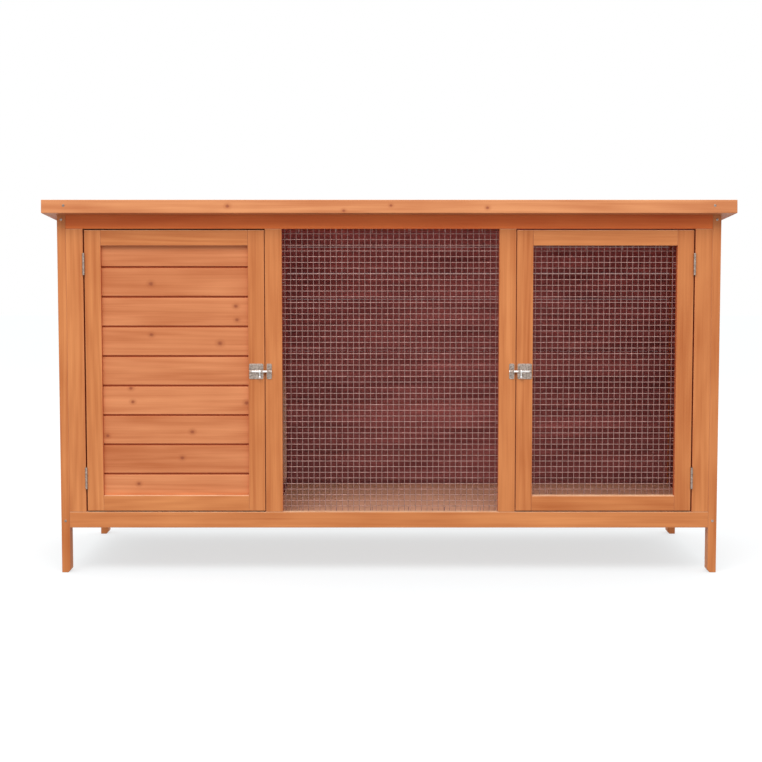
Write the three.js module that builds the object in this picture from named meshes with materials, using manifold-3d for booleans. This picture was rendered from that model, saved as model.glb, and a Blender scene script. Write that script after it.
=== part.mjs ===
// A single-storey timber rabbit hutch: two hinged doors, a fixed mesh window and a sloping roof.
// Millimetres. X runs to the right, Y from front to back, Z up. The origin is on the ground,
// under the middle of the roof.
import * as THREE from "three";
import { mergeVertices } from "three/addons/utils/BufferGeometryUtils.js";
import Module from "manifold-3d";

// ---- Driving dimensions: the whole hutch -------------------------------------------------
const BODY_WIDTH = 1155;
const BODY_DEPTH = 422;
const EAVES_HEIGHT = 631; // ground to the lower edge of the front roof edging
const ROOF_SLOPE = THREE.MathUtils.degToRad(4.3); // the roof falls towards the back
const FRONT_OVERHANG = 30;
const REAR_OVERHANG = 28;
const SIDE_OVERHANG = 21;

// ---- Timber sections ---------------------------------------------------------------------
const LEG_WIDTH = 15;
const LEG_DEPTH = 26;
const FOOT_CHAMFER = [4.5, 6]; // width and height cut off the inner lower corner of each leg
const FRAME_THICK = 15; // every rail, stile and mullion
const STILE_WIDTH = 29.5;
const BOTTOM_RAIL_BASE = 80;
const BOTTOM_RAIL_HEIGHT = 28;
const TOP_RAIL_HEIGHT = 28; // side and back top rails
const TOP_RAIL_SHOWS = 26.5; // front top rail between the doors and the roof edging
const EDGING_HEIGHT = 23;
const EDGING_WIDTH = 20;
const DECK_THICK = 9;
const FELT_DROP = 1; // felt surface below the top of the edging
const FELT_THICK = 2;
const FLOOR_THICK = 6;
const FLOOR_DROP = 7; // floor surface below the top of the bottom rails
const GROOVE_DEPTH = 6; // the floor is housed this deep in the front and back rails
const BOARD_THICK = 8;
const BOARD_COVER = 51.9; // height of one shiplap board that shows
const BOARD_JOINT = 3; // height and depth of the shadow groove between two boards
const DIVIDER_THICK = 8;
const DOORWAY_WIDTH = 165;
const DOORWAY_HEIGHT = 220;
const DOORWAY_SILL = 20;
const DOORWAY_FROM_BACK = 55;

// ---- Doors -------------------------------------------------------------------------------
const LEFT_OPENING = 316.5;
const RIGHT_OPENING = 311.5;
const DOOR_STILE = 28.5;
const DOOR_RAIL = 27;
const DOOR_BOARD_RECESS = 7;
const DOOR_BOTTOM_BOARD = 39.5; // part of the lowest door board that shows
const HINGE_GAP = 2.4;
const LATCH_GAP = 1.2;
const DOOR_END_GAP = 2; // above and below each door

// ---- Welded mesh -------------------------------------------------------------------------
const WIRE = 1;
const MESH_PITCH = 10;
const MESH_LAP = 6; // how far the mesh runs behind its frame
const MESH_BAND = 3; // width of the strip that ties the wires' hidden ends together

// ---- Hinges and bolts --------------------------------------------------------------------
const HINGE_HEIGHT = 38;
const HINGE_FROM_TOP = 59; // middle of the upper hinge below the top of its door
const HINGE_FROM_BOTTOM = 58;
const HINGE_LEAF = 1;
const HINGE_LEAF_DEPTH = 12;
const BARREL_RADIUS = 2.1;
const PIN_RADIUS = 1;
const KNUCKLE_GAP = 0.3;
const RUNNING_CLEARANCE = 0.06;
const BOLT_PLATE_HEIGHT = 27;
const BOLT_PLATE_THICK = 1;
const BOLT_PLATE_WIDTH = 25;
const BOLT_PLATE_INSET = 2; // plate edge from the door's edge
const LOOP_INSET = 1; // loop from the plate's own edge
const LOOP_WIDTH = 3.5;
const LOOP_WALL = 1;
const ROD_RADIUS = 2;
const ROD_TAIL = 0.5; // rod past the rear loop and past the keeper when the bolt is shot
const KEEPER_WIDTH = 9;
const KEEPER_OFFSET = 3.5; // keeper edge from the door's edge
const KEEPER_CLEARANCE = 0.3;
const KNOB_COLLAR_WIDTH = 3;
const KNOB_SIDE_GAP = 0.2; // collar from the front loop when the bolt is shot
const KNOB_BACK_GAP = 0.3; // collar from the plate
const KNOB_RADIUS = 2.8;
const KNOB_DROP = 10;
const KNOB_STEM_RADIUS = 1.3;

// ---- Clearances --------------------------------------------------------------------------
const FLOOR_FIT = 0.3; // above the floor in its groove
const PANEL_FIT = 0.5; // at the ends of the floor and the divider
const TURNED_GAP = 0.3; // between pieces of the tilted roof, and between the roof and the body
const FACE_FIT = 0.05; // between a metal plate and the timber that it lies on
const BARREL_SIDES = 20;

// ---- Worked-out places -------------------------------------------------------------------
const ROOF_WIDTH = BODY_WIDTH + 2 * SIDE_OVERHANG;
const ROOF_DEPTH = FRONT_OVERHANG + BODY_DEPTH + REAR_OVERHANG;
const ROOF_FRONT = -ROOF_DEPTH / 2;
const FRONT = ROOF_FRONT + FRONT_OVERHANG; // front plane of legs, frame and doors
const BACK = FRONT + BODY_DEPTH;
const FRAME_BACK = FRONT + FRAME_THICK; // rear face of the front frame
const REAR_FRAME_FACE = BACK - FRAME_THICK; // inner face of the back frame
const SIDE = BODY_WIDTH / 2;
const SIDE_INNER = SIDE - LEG_WIDTH;
const RAIL_TOP = BOTTOM_RAIL_BASE + BOTTOM_RAIL_HEIGHT;
const OPENING_TOP = EAVES_HEIGHT - TOP_RAIL_SHOWS;
const FLOOR_TOP = RAIL_TOP - FLOOR_DROP;
const OPENING_LEFT = -(SIDE_INNER - STILE_WIDTH);
const OPENING_RIGHT = SIDE_INNER - STILE_WIDTH;
const LEFT_MULLION = OPENING_LEFT + LEFT_OPENING; // left edge of the left mullion
const RIGHT_MULLION = OPENING_RIGHT - RIGHT_OPENING; // right edge of the right mullion
const WINDOW_LEFT = LEFT_MULLION + STILE_WIDTH;
const WINDOW_RIGHT = RIGHT_MULLION - STILE_WIDTH;
const DOOR_BOTTOM = RAIL_TOP + DOOR_END_GAP;
const DOOR_TOP = OPENING_TOP - DOOR_END_GAP;
const DIVIDER_LEFT = LEFT_MULLION + (STILE_WIDTH - MESH_LAP - DIVIDER_THICK) / 2;
const HINGE_STAND_OFF = BARREL_RADIUS; // barrel axis in front of the door's face
const BARREL_AXIS_Y = FRONT - HINGE_STAND_OFF;
const BOLT_HEIGHT = (DOOR_BOTTOM + DOOR_TOP) / 2;
const LOOP_RADIUS = ROD_RADIUS + LOOP_WALL;
const ROD_STAND_OFF = LOOP_RADIUS + KNOB_BACK_GAP; // rod axis from the plate's face
const ROD_AXIS_Y = FRONT - FACE_FIT - BOLT_PLATE_THICK - ROD_STAND_OFF;
const DECK_UNDERSIDE = EDGING_HEIGHT - FELT_DROP - FELT_THICK - TURNED_GAP - DECK_THICK;

// ---- Finishes ----------------------------------------------------------------------------
function finish(color, roughness, metalness) {
  return new THREE.MeshStandardMaterial({ color, roughness, metalness });
}
const STAINED_FIR = finish(0xd3865a, 0.6, 0);
const STAINED_BOARD = finish(0xd48457, 0.62, 0);
const PLYWOOD = finish(0xb98a66, 0.7, 0);
const ROOF_FELT = finish(0x3c4440, 0.95, 0);
const GALVANISED_WIRE = finish(0xa9a49f, 0.45, 0.9);
const ZINC_PLATE = finish(0xb8b4ae, 0.35, 0.9);

// ---- Shape helpers -----------------------------------------------------------------------
const wasm = await Module();
wasm.setup();

function toSolid(geometry) {
  const bare = geometry.index ? geometry.toNonIndexed() : geometry.clone();
  bare.deleteAttribute("normal");
  bare.deleteAttribute("uv");
  const merged = mergeVertices(bare, 1e-4);
  return new wasm.Manifold(
    new wasm.Mesh({
      numProp: 3,
      vertProperties: merged.attributes.position.array,
      triVerts: new Uint32Array(merged.index.array),
    }),
  );
}

function toGeometry(solid) {
  const mesh = solid.getMesh();
  const geometry = new THREE.BufferGeometry();
  geometry.setAttribute("position", new THREE.BufferAttribute(mesh.vertProperties, 3));
  geometry.setIndex(new THREE.BufferAttribute(mesh.triVerts, 1));
  return geometry;
}

function addMesh(group, name, geometry, material) {
  const mesh = new THREE.Mesh(geometry, material);
  mesh.name = name;
  group.add(mesh);
  return mesh;
}

// A box between two values on each axis, placed by its middle.
function addBox(group, name, material, [x0, x1], [y0, y1], [z0, z1]) {
  const mesh = addMesh(group, name, new THREE.BoxGeometry(x1 - x0, y1 - y0, z1 - z0), material);
  mesh.position.set((x0 + x1) / 2, (y0 + y1) / 2, (z0 + z1) / 2);
  return mesh;
}

function boxGeometry([x0, x1], [y0, y1], [z0, z1]) {
  const geometry = new THREE.BoxGeometry(x1 - x0, y1 - y0, z1 - z0);
  return geometry.translate((x0 + x1) / 2, (y0 + y1) / 2, (z0 + z1) / 2);
}

function shapeOf(points) {
  return new THREE.Shape(points.map(([a, b]) => new THREE.Vector2(a, b)));
}

const X_AXIS = new THREE.Vector3(1, 0, 0);
const Y_AXIS = new THREE.Vector3(0, 1, 0);
const Z_AXIS = new THREE.Vector3(0, 0, 1);

// A (y, z) outline drawn out from x0 to x1.
function alongX(shape, x0, x1) {
  const geometry = new THREE.ExtrudeGeometry(shape, { depth: x1 - x0, bevelEnabled: false });
  geometry.applyMatrix4(new THREE.Matrix4().makeBasis(Y_AXIS, Z_AXIS, X_AXIS));
  return geometry.translate(x0, 0, 0);
}

// An (x, z) outline drawn out from y0 to y1.
function alongY(shape, y0, y1) {
  const geometry = new THREE.ExtrudeGeometry(shape, { depth: y1 - y0, bevelEnabled: false });
  geometry.applyMatrix4(new THREE.Matrix4().makeBasis(X_AXIS, Z_AXIS, Y_AXIS.clone().negate()));
  return geometry.translate(0, y1, 0);
}

// A round bar along Z with its middle at the origin.
function roundBar(radius, length) {
  return new THREE.CylinderGeometry(radius, radius, length, BARREL_SIDES).rotateX(Math.PI / 2);
}

// ---- The roof's underside above the body -------------------------------------------------
// Height of the line that the tops of legs, rails and boards keep to, at depth y.
function underRoof(y) {
  const deckY = ROOF_FRONT + DECK_UNDERSIDE * Math.sin(ROOF_SLOPE);
  const deckZ = EAVES_HEIGHT + DECK_UNDERSIDE * Math.cos(ROOF_SLOPE);
  return deckZ - (y - deckY) * Math.tan(ROOF_SLOPE) - TURNED_GAP;
}

// A (y, z) outline from a level base up to the roof.
function upToRoof(y0, y1, base) {
  return shapeOf([[y0, base], [y1, base], [y1, underRoof(y1)], [y0, underRoof(y0)]]);
}

// ---- Legs and front frame ----------------------------------------------------------------
function makeLeg(sign, y0) {
  const x = [SIDE_INNER * sign, SIDE * sign].sort((a, b) => a - b);
  const leg = toSolid(alongX(upToRoof(y0, y0 + LEG_DEPTH, 0), ...x));
  const [width, height] = FOOT_CHAMFER;
  const inner = SIDE_INNER * sign;
  const offcut = shapeOf([
    [inner - width * sign, -height],
    [inner + width * sign, 0],
    [inner, height],
    [inner - width * sign, height],
  ]);
  return toGeometry(leg.subtract(toSolid(alongY(offcut, y0 - 1, y0 + LEG_DEPTH + 1))));
}

function addLegs(group) {
  for (const [sideName, sign] of [["left", -1], ["right", 1]]) {
    addMesh(group, `${sideName}_front_leg`, makeLeg(sign, FRONT), STAINED_FIR);
    addMesh(group, `${sideName}_rear_leg`, makeLeg(sign, BACK - LEG_DEPTH), STAINED_FIR);
  }
}

// Outline of a bottom rail from its outer to its inner face, with the groove for the floor.
function groovedRail(outer, inner) {
  const bed = inner + Math.sign(outer - inner) * GROOVE_DEPTH;
  const grooveBase = FLOOR_TOP - FLOOR_THICK;
  const grooveTop = FLOOR_TOP + FLOOR_FIT;
  return shapeOf([
    [outer, BOTTOM_RAIL_BASE],
    [inner, BOTTOM_RAIL_BASE],
    [inner, grooveBase],
    [bed, grooveBase],
    [bed, grooveTop],
    [inner, grooveTop],
    [inner, RAIL_TOP],
    [outer, RAIL_TOP],
  ]);
}

function addFrontFrame(group) {
  const topRail = upToRoof(FRONT, FRAME_BACK, OPENING_TOP);
  addMesh(group, "front_top_rail", alongX(topRail, -SIDE_INNER, SIDE_INNER), STAINED_FIR);
  const bottomRail = groovedRail(FRONT, FRAME_BACK);
  addMesh(group, "front_bottom_rail", alongX(bottomRail, -SIDE_INNER, SIDE_INNER), STAINED_FIR);
  const uprights = [
    ["front_left_stile", -SIDE_INNER],
    ["left_mullion", LEFT_MULLION],
    ["right_mullion", WINDOW_RIGHT],
    ["front_right_stile", OPENING_RIGHT],
  ];
  for (const [name, x0] of uprights) {
    addBox(group, name, STAINED_FIR,
      [x0, x0 + STILE_WIDTH], [FRONT, FRAME_BACK], [RAIL_TOP, OPENING_TOP]);
  }
}

// ---- Side and back walls -----------------------------------------------------------------
// Outline of a wall of shiplap boards: depth across the wall first, then height.
function boardOutline(face, inward, bottom, top, firstLine) {
  const groove = face + inward * BOARD_JOINT;
  const back = face + inward * BOARD_THICK;
  const points = [[face, bottom]];
  for (let line = firstLine; line < top - BOARD_JOINT; line += BOARD_COVER) {
    const under = line - BOARD_JOINT;
    points.push([face, under], [groove, under], [groove, line], [face, line]);
  }
  points.push([face, top], [back, top], [back, bottom]);
  return shapeOf(points);
}

function addSideWall(group, name, sign) {
  const y0 = FRONT + LEG_DEPTH;
  const y1 = BACK - LEG_DEPTH;
  const x = [SIDE_INNER * sign, SIDE * sign].sort((a, b) => a - b);
  const railTop = shapeOf([
    [y0, underRoof(y0) - TOP_RAIL_HEIGHT],
    [y1, underRoof(y1) - TOP_RAIL_HEIGHT],
    [y1, underRoof(y1)],
    [y0, underRoof(y0)],
  ]);
  addMesh(group, `${name}_side_top_rail`, alongX(railTop, ...x), STAINED_FIR);
  addBox(group, `${name}_side_bottom_rail`, STAINED_FIR,
    x, [y0, y1], [BOTTOM_RAIL_BASE, RAIL_TOP]);
  const face = (SIDE_INNER + BOARD_THICK) * sign;
  const outline = boardOutline(face, -sign, RAIL_TOP, underRoof(y0), RAIL_TOP + BOARD_COVER);
  const room = alongX(shapeOf([
    [y0, RAIL_TOP],
    [y1, RAIL_TOP],
    [y1, underRoof(y1) - TOP_RAIL_HEIGHT - TURNED_GAP],
    [y0, underRoof(y0) - TOP_RAIL_HEIGHT - TURNED_GAP],
  ]), ...x);
  const boards = toSolid(alongY(outline, y0, y1)).intersect(toSolid(room));
  addMesh(group, `${name}_side_boards`, toGeometry(boards), STAINED_BOARD);
}

function addBackWall(group) {
  const railBase = underRoof(BACK) - TOP_RAIL_HEIGHT;
  const topRail = upToRoof(REAR_FRAME_FACE, BACK, railBase);
  addMesh(group, "back_top_rail", alongX(topRail, -SIDE_INNER, SIDE_INNER), STAINED_FIR);
  const bottomRail = groovedRail(BACK, REAR_FRAME_FACE);
  addMesh(group, "back_bottom_rail", alongX(bottomRail, -SIDE_INNER, SIDE_INNER), STAINED_FIR);
  const face = REAR_FRAME_FACE + BOARD_THICK;
  const outline = boardOutline(face, -1, RAIL_TOP, railBase, RAIL_TOP + BOARD_COVER);
  addMesh(group, "back_boards", alongX(outline, -SIDE_INNER, SIDE_INNER), STAINED_BOARD);
}

// ---- Floor and divider -------------------------------------------------------------------
function addFloor(group) {
  const half = SIDE_INNER - PANEL_FIT;
  const reach = GROOVE_DEPTH - PANEL_FIT;
  addBox(group, "floor_panel", PLYWOOD,
    [-half, half], [FRAME_BACK - reach, REAR_FRAME_FACE + reach],
    [FLOOR_TOP - FLOOR_THICK, FLOOR_TOP]);
}

// The partition between the nest and the run, with the doorway the rabbit goes through.
function addDivider(group) {
  const y1 = REAR_FRAME_FACE - PANEL_FIT;
  const shape = shapeOf([
    [FRAME_BACK, FLOOR_TOP],
    [y1, FLOOR_TOP],
    [y1, underRoof(y1) - TURNED_GAP],
    [FRAME_BACK, underRoof(FRAME_BACK) - TURNED_GAP],
  ]);
  const right = REAR_FRAME_FACE - DOORWAY_FROM_BACK;
  const left = right - DOORWAY_WIDTH;
  const sill = FLOOR_TOP + DOORWAY_SILL;
  const springing = sill + DOORWAY_HEIGHT - DOORWAY_WIDTH / 2;
  const doorway = new THREE.Path();
  doorway.moveTo(left, sill);
  doorway.lineTo(right, sill);
  doorway.lineTo(right, springing);
  doorway.absarc((left + right) / 2, springing, DOORWAY_WIDTH / 2, 0, Math.PI, false);
  doorway.closePath();
  shape.holes.push(doorway);
  const panel = alongX(shape, DIVIDER_LEFT, DIVIDER_LEFT + DIVIDER_THICK);
  addMesh(group, "nest_divider", panel, PLYWOOD);
}

// ---- Roof --------------------------------------------------------------------------------
// The roof's own group starts at the lower front edge of the front edging and tilts backwards.
function makeRoof() {
  const roof = new THREE.Group();
  roof.position.set(0, ROOF_FRONT, EAVES_HEIGHT);
  roof.rotation.x = -ROOF_SLOPE;
  const half = ROOF_WIDTH / 2;
  const sine = Math.sin(ROOF_SLOPE);
  const cosine = Math.cos(ROOF_SLOPE);
  const length = (ROOF_DEPTH - EDGING_HEIGHT * sine) / cosine;
  const frontDepth = (FRONT_OVERHANG - EDGING_HEIGHT * sine) / cosine - TURNED_GAP;
  const deckFront = frontDepth + TURNED_GAP;
  const deckBack = length - EDGING_WIDTH - TURNED_GAP;
  const height = [0, EDGING_HEIGHT];
  addBox(roof, "roof_front_edging", STAINED_FIR, [-half, half], [0, frontDepth], height);
  addBox(roof, "roof_rear_edging", STAINED_FIR,
    [-half, half], [length - EDGING_WIDTH, length], height);
  const sideRun = [deckFront, deckBack];
  addBox(roof, "roof_left_edging", STAINED_FIR, [-half, EDGING_WIDTH - half], sideRun, height);
  addBox(roof, "roof_right_edging", STAINED_FIR, [half - EDGING_WIDTH, half], sideRun, height);
  const deckHalf = half - EDGING_WIDTH - TURNED_GAP;
  const deckTop = DECK_UNDERSIDE + DECK_THICK;
  addBox(roof, "roof_deck", PLYWOOD, [-deckHalf, deckHalf], sideRun, [DECK_UNDERSIDE, deckTop]);
  const feltBase = deckTop + TURNED_GAP;
  addBox(roof, "roof_felt", ROOF_FELT,
    [-deckHalf, deckHalf], sideRun, [feltBase, feltBase + FELT_THICK]);
  return roof;
}

// ---- Welded mesh -------------------------------------------------------------------------
// Outline of parallel wires from near to far that hang on one band at their near end.
// Along is the wires' own direction, across the direction in which they repeat.
function wireComb(across0, across1, near, far) {
  const count = Math.floor((across1 - across0 - WIRE) / MESH_PITCH) + 1;
  const first = (across0 + across1 - (count - 1) * MESH_PITCH - WIRE) / 2;
  const band = near + Math.sign(far - near) * MESH_BAND;
  const points = [];
  for (let i = 0; i < count; i += 1) {
    const left = first + i * MESH_PITCH;
    const right = left + WIRE;
    points.push([left, i === 0 ? near : band], [left, far]);
    points.push([right, far], [right, i === count - 1 ? near : band]);
  }
  return points;
}

function addWeldedMesh(group, name, [x0, x1], [z0, z1]) {
  const x = [x0 - MESH_LAP, x1 + MESH_LAP];
  const z = [z0 - MESH_LAP, z1 + MESH_LAP];
  const cross = wireComb(...z, ...x).map(([across, along]) => [along, across]);
  const upright = wireComb(...x, z[1], z[0]);
  const layer = FRAME_BACK + WIRE;
  addMesh(group, `${name}_cross_wires`, alongY(shapeOf(cross), FRAME_BACK, layer), GALVANISED_WIRE);
  addMesh(group, `${name}_upright_wires`, alongY(shapeOf(upright), layer, layer + WIRE),
    GALVANISED_WIRE);
}

// ---- Doors -------------------------------------------------------------------------------
// The four timbers of a door between its outer edges x0 and x1; the hinge side comes first.
function addDoorFrame(group, name, [x0, x1], hingeOnLeft) {
  const y = [FRONT, FRAME_BACK];
  const z = [DOOR_BOTTOM, DOOR_TOP];
  const sides = hingeOnLeft ? ["hinge", "latch"] : ["latch", "hinge"];
  const inner = [x0 + DOOR_STILE, x1 - DOOR_STILE];
  addBox(group, `${name}_${sides[0]}_stile`, STAINED_FIR, [x0, inner[0]], y, z);
  addBox(group, `${name}_${sides[1]}_stile`, STAINED_FIR, [inner[1], x1], y, z);
  addBox(group, `${name}_top_rail`, STAINED_FIR, inner, y, [DOOR_TOP - DOOR_RAIL, DOOR_TOP]);
  addBox(group, `${name}_bottom_rail`, STAINED_FIR,
    inner, y, [DOOR_BOTTOM, DOOR_BOTTOM + DOOR_RAIL]);
  return inner;
}

function addDoors(group) {
  const panel = [DOOR_BOTTOM + DOOR_RAIL, DOOR_TOP - DOOR_RAIL];
  const left = [OPENING_LEFT + HINGE_GAP, LEFT_MULLION - LATCH_GAP];
  const leftInner = addDoorFrame(group, "left_door", left, true);
  const outline = boardOutline(FRONT + DOOR_BOARD_RECESS, 1, ...panel, panel[0] + DOOR_BOTTOM_BOARD);
  addMesh(group, "left_door_boards", alongX(outline, ...leftInner), STAINED_BOARD);
  const right = [RIGHT_MULLION + LATCH_GAP, OPENING_RIGHT - HINGE_GAP];
  const rightInner = addDoorFrame(group, "right_door", right, false);
  addWeldedMesh(group, "right_door_mesh", rightInner, panel);
}

// ---- Hinges ------------------------------------------------------------------------------
// Part of a butt hinge about the Z axis: its leaf lies on the side that sign points to.
function hingeLeaf(sign, knuckles) {
  const edge = HINGE_GAP / 2 - FACE_FIT;
  const side = [edge * sign, (edge - HINGE_LEAF) * sign].sort((a, b) => a - b);
  const clear = BARREL_RADIUS + RUNNING_CLEARANCE;
  const plateEnd = HINGE_STAND_OFF + HINGE_LEAF_DEPTH;
  const half = HINGE_HEIGHT / 2;
  let leaf = toSolid(boxGeometry(side, [clear, plateEnd], [-half, half]));
  for (const [z0, z1] of knuckles) {
    const barrel = roundBar(BARREL_RADIUS, z1 - z0).translate(0, 0, (z0 + z1) / 2);
    const neck = boxGeometry(side, [0, clear + HINGE_LEAF], [z0, z1]);
    leaf = leaf.add(toSolid(barrel)).add(toSolid(neck));
  }
  const bore = roundBar(PIN_RADIUS + RUNNING_CLEARANCE, HINGE_HEIGHT + 2 * HINGE_LEAF);
  return toGeometry(leaf.subtract(toSolid(bore)));
}

function addHinge(group, name, x, z, doorSide) {
  const hinge = new THREE.Group();
  hinge.position.set(x, BARREL_AXIS_Y, z);
  const end = HINGE_HEIGHT / 2;
  const middle = HINGE_HEIGHT / 6; // half the length of the door's knuckle
  const outer = [[-end, -middle - KNUCKLE_GAP], [middle + KNUCKLE_GAP, end]];
  addMesh(hinge, `${name}_frame_leaf`, hingeLeaf(-doorSide, outer), ZINC_PLATE);
  addMesh(hinge, `${name}_door_leaf`, hingeLeaf(doorSide, [[-middle, middle]]), ZINC_PLATE);
  addMesh(hinge, `${name}_pin`, roundBar(PIN_RADIUS, HINGE_HEIGHT), ZINC_PLATE);
  group.add(hinge);
}

function addHinges(group) {
  const heights = [["upper", DOOR_TOP - HINGE_FROM_TOP], ["lower", DOOR_BOTTOM + HINGE_FROM_BOTTOM]];
  for (const [level, z] of heights) {
    addHinge(group, `left_${level}_hinge`, OPENING_LEFT + HINGE_GAP / 2, z, 1);
    addHinge(group, `right_${level}_hinge`, OPENING_RIGHT - HINGE_GAP / 2, z, -1);
  }
}

// ---- Barrel bolts ------------------------------------------------------------------------
// A bolt's own group sits on the rod's axis at the door's edge. Its u axis runs into the door.
function barAlongX(radius, u0, u1) {
  const bar = new THREE.CylinderGeometry(radius, radius, u1 - u0, BARREL_SIDES);
  return bar.rotateZ(Math.PI / 2).translate((u0 + u1) / 2, 0, 0);
}

// A flat plate with raised loops that the rod runs through.
function loopedPlate([u0, u1], loops, bore) {
  const face = ROD_STAND_OFF;
  const half = BOLT_PLATE_HEIGHT / 2;
  let plate = toSolid(boxGeometry([u0, u1], [face, face + BOLT_PLATE_THICK], [-half, half]));
  for (const [start, end] of loops) {
    const arch = barAlongX(LOOP_RADIUS, start, end);
    const feet = boxGeometry([start, end], [0, face + BOLT_PLATE_THICK], [-LOOP_RADIUS, LOOP_RADIUS]);
    plate = plate.add(toSolid(arch)).add(toSolid(feet));
  }
  return toGeometry(plate.subtract(toSolid(barAlongX(bore, u0 - 1, u1 + 1))));
}

function knobGeometry(u) {
  const half = KNOB_COLLAR_WIDTH / 2;
  const past = KNOB_COLLAR_WIDTH;
  const collar = toSolid(barAlongX(LOOP_RADIUS, u - half, u + half));
  const stem = roundBar(KNOB_STEM_RADIUS, KNOB_DROP).translate(u, 0, -KNOB_DROP / 2);
  const ball = new THREE.SphereGeometry(KNOB_RADIUS, BARREL_SIDES, BARREL_SIDES / 2);
  ball.translate(u, 0, -KNOB_DROP);
  const bore = toSolid(barAlongX(ROD_RADIUS + RUNNING_CLEARANCE, u - past, u + past));
  return toGeometry(collar.add(toSolid(stem)).add(toSolid(ball)).subtract(bore));
}

function rodGeometry(u0, u1) {
  const chamfer = ROD_RADIUS / 4;
  const profile = [
    [0, u0],
    [ROD_RADIUS - chamfer, u0],
    [ROD_RADIUS, u0 + chamfer],
    [ROD_RADIUS, u1 - chamfer],
    [ROD_RADIUS - chamfer, u1],
    [0, u1],
  ].map(([radius, u]) => new THREE.Vector2(radius, u));
  return new THREE.LatheGeometry(profile, BARREL_SIDES).rotateZ(-Math.PI / 2);
}

function addBolt(group, side, edge, intoDoor) {
  const bolt = new THREE.Group();
  bolt.position.set(edge, ROD_AXIS_Y, BOLT_HEIGHT);
  bolt.scale.x = intoDoor;
  const plate = [BOLT_PLATE_INSET, BOLT_PLATE_INSET + BOLT_PLATE_WIDTH];
  const frontLoop = [plate[0] + LOOP_INSET, plate[0] + LOOP_INSET + LOOP_WIDTH];
  const rearLoop = [plate[1] - LOOP_INSET - LOOP_WIDTH, plate[1] - LOOP_INSET];
  const plateBore = ROD_RADIUS + RUNNING_CLEARANCE;
  addMesh(bolt, `${side}_bolt_plate`, loopedPlate(plate, [frontLoop, rearLoop], plateBore),
    ZINC_PLATE);
  const keeper = [-KEEPER_OFFSET - KEEPER_WIDTH, -KEEPER_OFFSET];
  const keeperLoop = [keeper[0] + LOOP_INSET, keeper[1] - LOOP_INSET];
  addMesh(bolt, `${side}_bolt_keeper`,
    loopedPlate(keeper, [keeperLoop], ROD_RADIUS + KEEPER_CLEARANCE), ZINC_PLATE);
  addMesh(bolt, `${side}_bolt_rod`, rodGeometry(keeper[0] - ROD_TAIL, rearLoop[1] + ROD_TAIL),
    ZINC_PLATE);
  const knobPlace = frontLoop[1] + KNOB_SIDE_GAP + KNOB_COLLAR_WIDTH / 2;
  addMesh(bolt, `${side}_bolt_knob`, knobGeometry(knobPlace), ZINC_PLATE);
  group.add(bolt);
}

function addBolts(group) {
  addBolt(group, "left", LEFT_MULLION - LATCH_GAP, -1);
  addBolt(group, "right", RIGHT_MULLION + LATCH_GAP, 1);
}

const hutch = new THREE.Group();
addLegs(hutch);
addFrontFrame(hutch);
addWeldedMesh(hutch, "window_mesh", [WINDOW_LEFT, WINDOW_RIGHT], [RAIL_TOP, OPENING_TOP]);
addSideWall(hutch, "left", -1);
addSideWall(hutch, "right", 1);
addBackWall(hutch);
addFloor(hutch);
addDivider(hutch);
hutch.add(makeRoof());
addDoors(hutch);
addHinges(hutch);
addBolts(hutch);

export default hutch;
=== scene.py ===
"""A stained fir rabbit hutch with a boarded door, a mesh door and a mesh window."""

import math
import random

import bmesh
import bpy
from mathutils import Matrix, Vector


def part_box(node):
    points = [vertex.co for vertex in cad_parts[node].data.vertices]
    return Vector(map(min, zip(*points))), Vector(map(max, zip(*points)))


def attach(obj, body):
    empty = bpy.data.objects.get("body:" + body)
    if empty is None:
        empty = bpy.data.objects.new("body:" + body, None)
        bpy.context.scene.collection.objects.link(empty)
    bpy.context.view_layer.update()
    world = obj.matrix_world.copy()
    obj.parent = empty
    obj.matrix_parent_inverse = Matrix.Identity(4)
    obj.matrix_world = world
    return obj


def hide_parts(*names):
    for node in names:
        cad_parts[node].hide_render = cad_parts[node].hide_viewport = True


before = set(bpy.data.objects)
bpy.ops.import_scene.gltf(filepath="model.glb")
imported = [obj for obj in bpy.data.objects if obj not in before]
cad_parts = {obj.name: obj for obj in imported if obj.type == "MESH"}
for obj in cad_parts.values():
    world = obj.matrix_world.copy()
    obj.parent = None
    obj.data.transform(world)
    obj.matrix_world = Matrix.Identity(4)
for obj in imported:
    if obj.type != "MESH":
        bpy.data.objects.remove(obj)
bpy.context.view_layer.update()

bl_info = {
    "name": "Rabbit hutch",
    "version": (1, 0, 0),
    "blender": (4, 5, 0),
    "location": "View3D > Sidebar > Rabbit hutch",
    "description": "Builds a stained fir rabbit hutch over its packed frame",
    "category": "Object",
}

UP = Vector((0, 0, 1))
FRONT = Vector((0, -1, 0))
GRAIN_AXES = {"x": (0, 2, 1), "y": (1, 2, 0), "z": (2, 0, 1)}  # along, across, through
JOINT_SLACK = 0.002  # a face this far behind or below the outermost one is another face
SAME_PLACE = 1e-5  # two places closer than this are one place
CORNER_ANGLE = math.radians(30)  # a turn of the surface sharper than this is a corner
CREASE_ANGLE = math.radians(35)  # a turn sharper than this keeps its crease in smooth shading

# How much of a face's normal has to lie along a way, as a cosine, for the face to count as:
RISING = 0.35  # a sill, a rounding or a chamfer, where the way is up
LOOKING = 0.5  # turned that way
FACING = 0.9  # a flat side that looks that way
SQUARE = 0.985  # square to it, with no rounding or chamfer

# How far a face turns to the pale arris colour, from 0 to 1: worn stain, and on faces that rise a
# painted highlight too.
SILL_WEAR_AND_HIGHLIGHT = 0.9
ROUNDING_WEAR_AND_HIGHLIGHT = 0.8
CORNER_WEAR = 0.1
OFF_FRONT_SHARE = 0.4  # what is left of the wear and the painted highlight on tops that do not lie in the front

# The bend in the brow of a board: shares of the brow's height and of its depth.
BROW_BEND = (0.55, 0.28)

# Flats round the bars that are drawn as round.
WIRE_SIDES = 8
SCREW_SIDES = 20
PIN_SIDES = 24
ROD_SIDES = 32
ARCH_SIDES = 64

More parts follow.
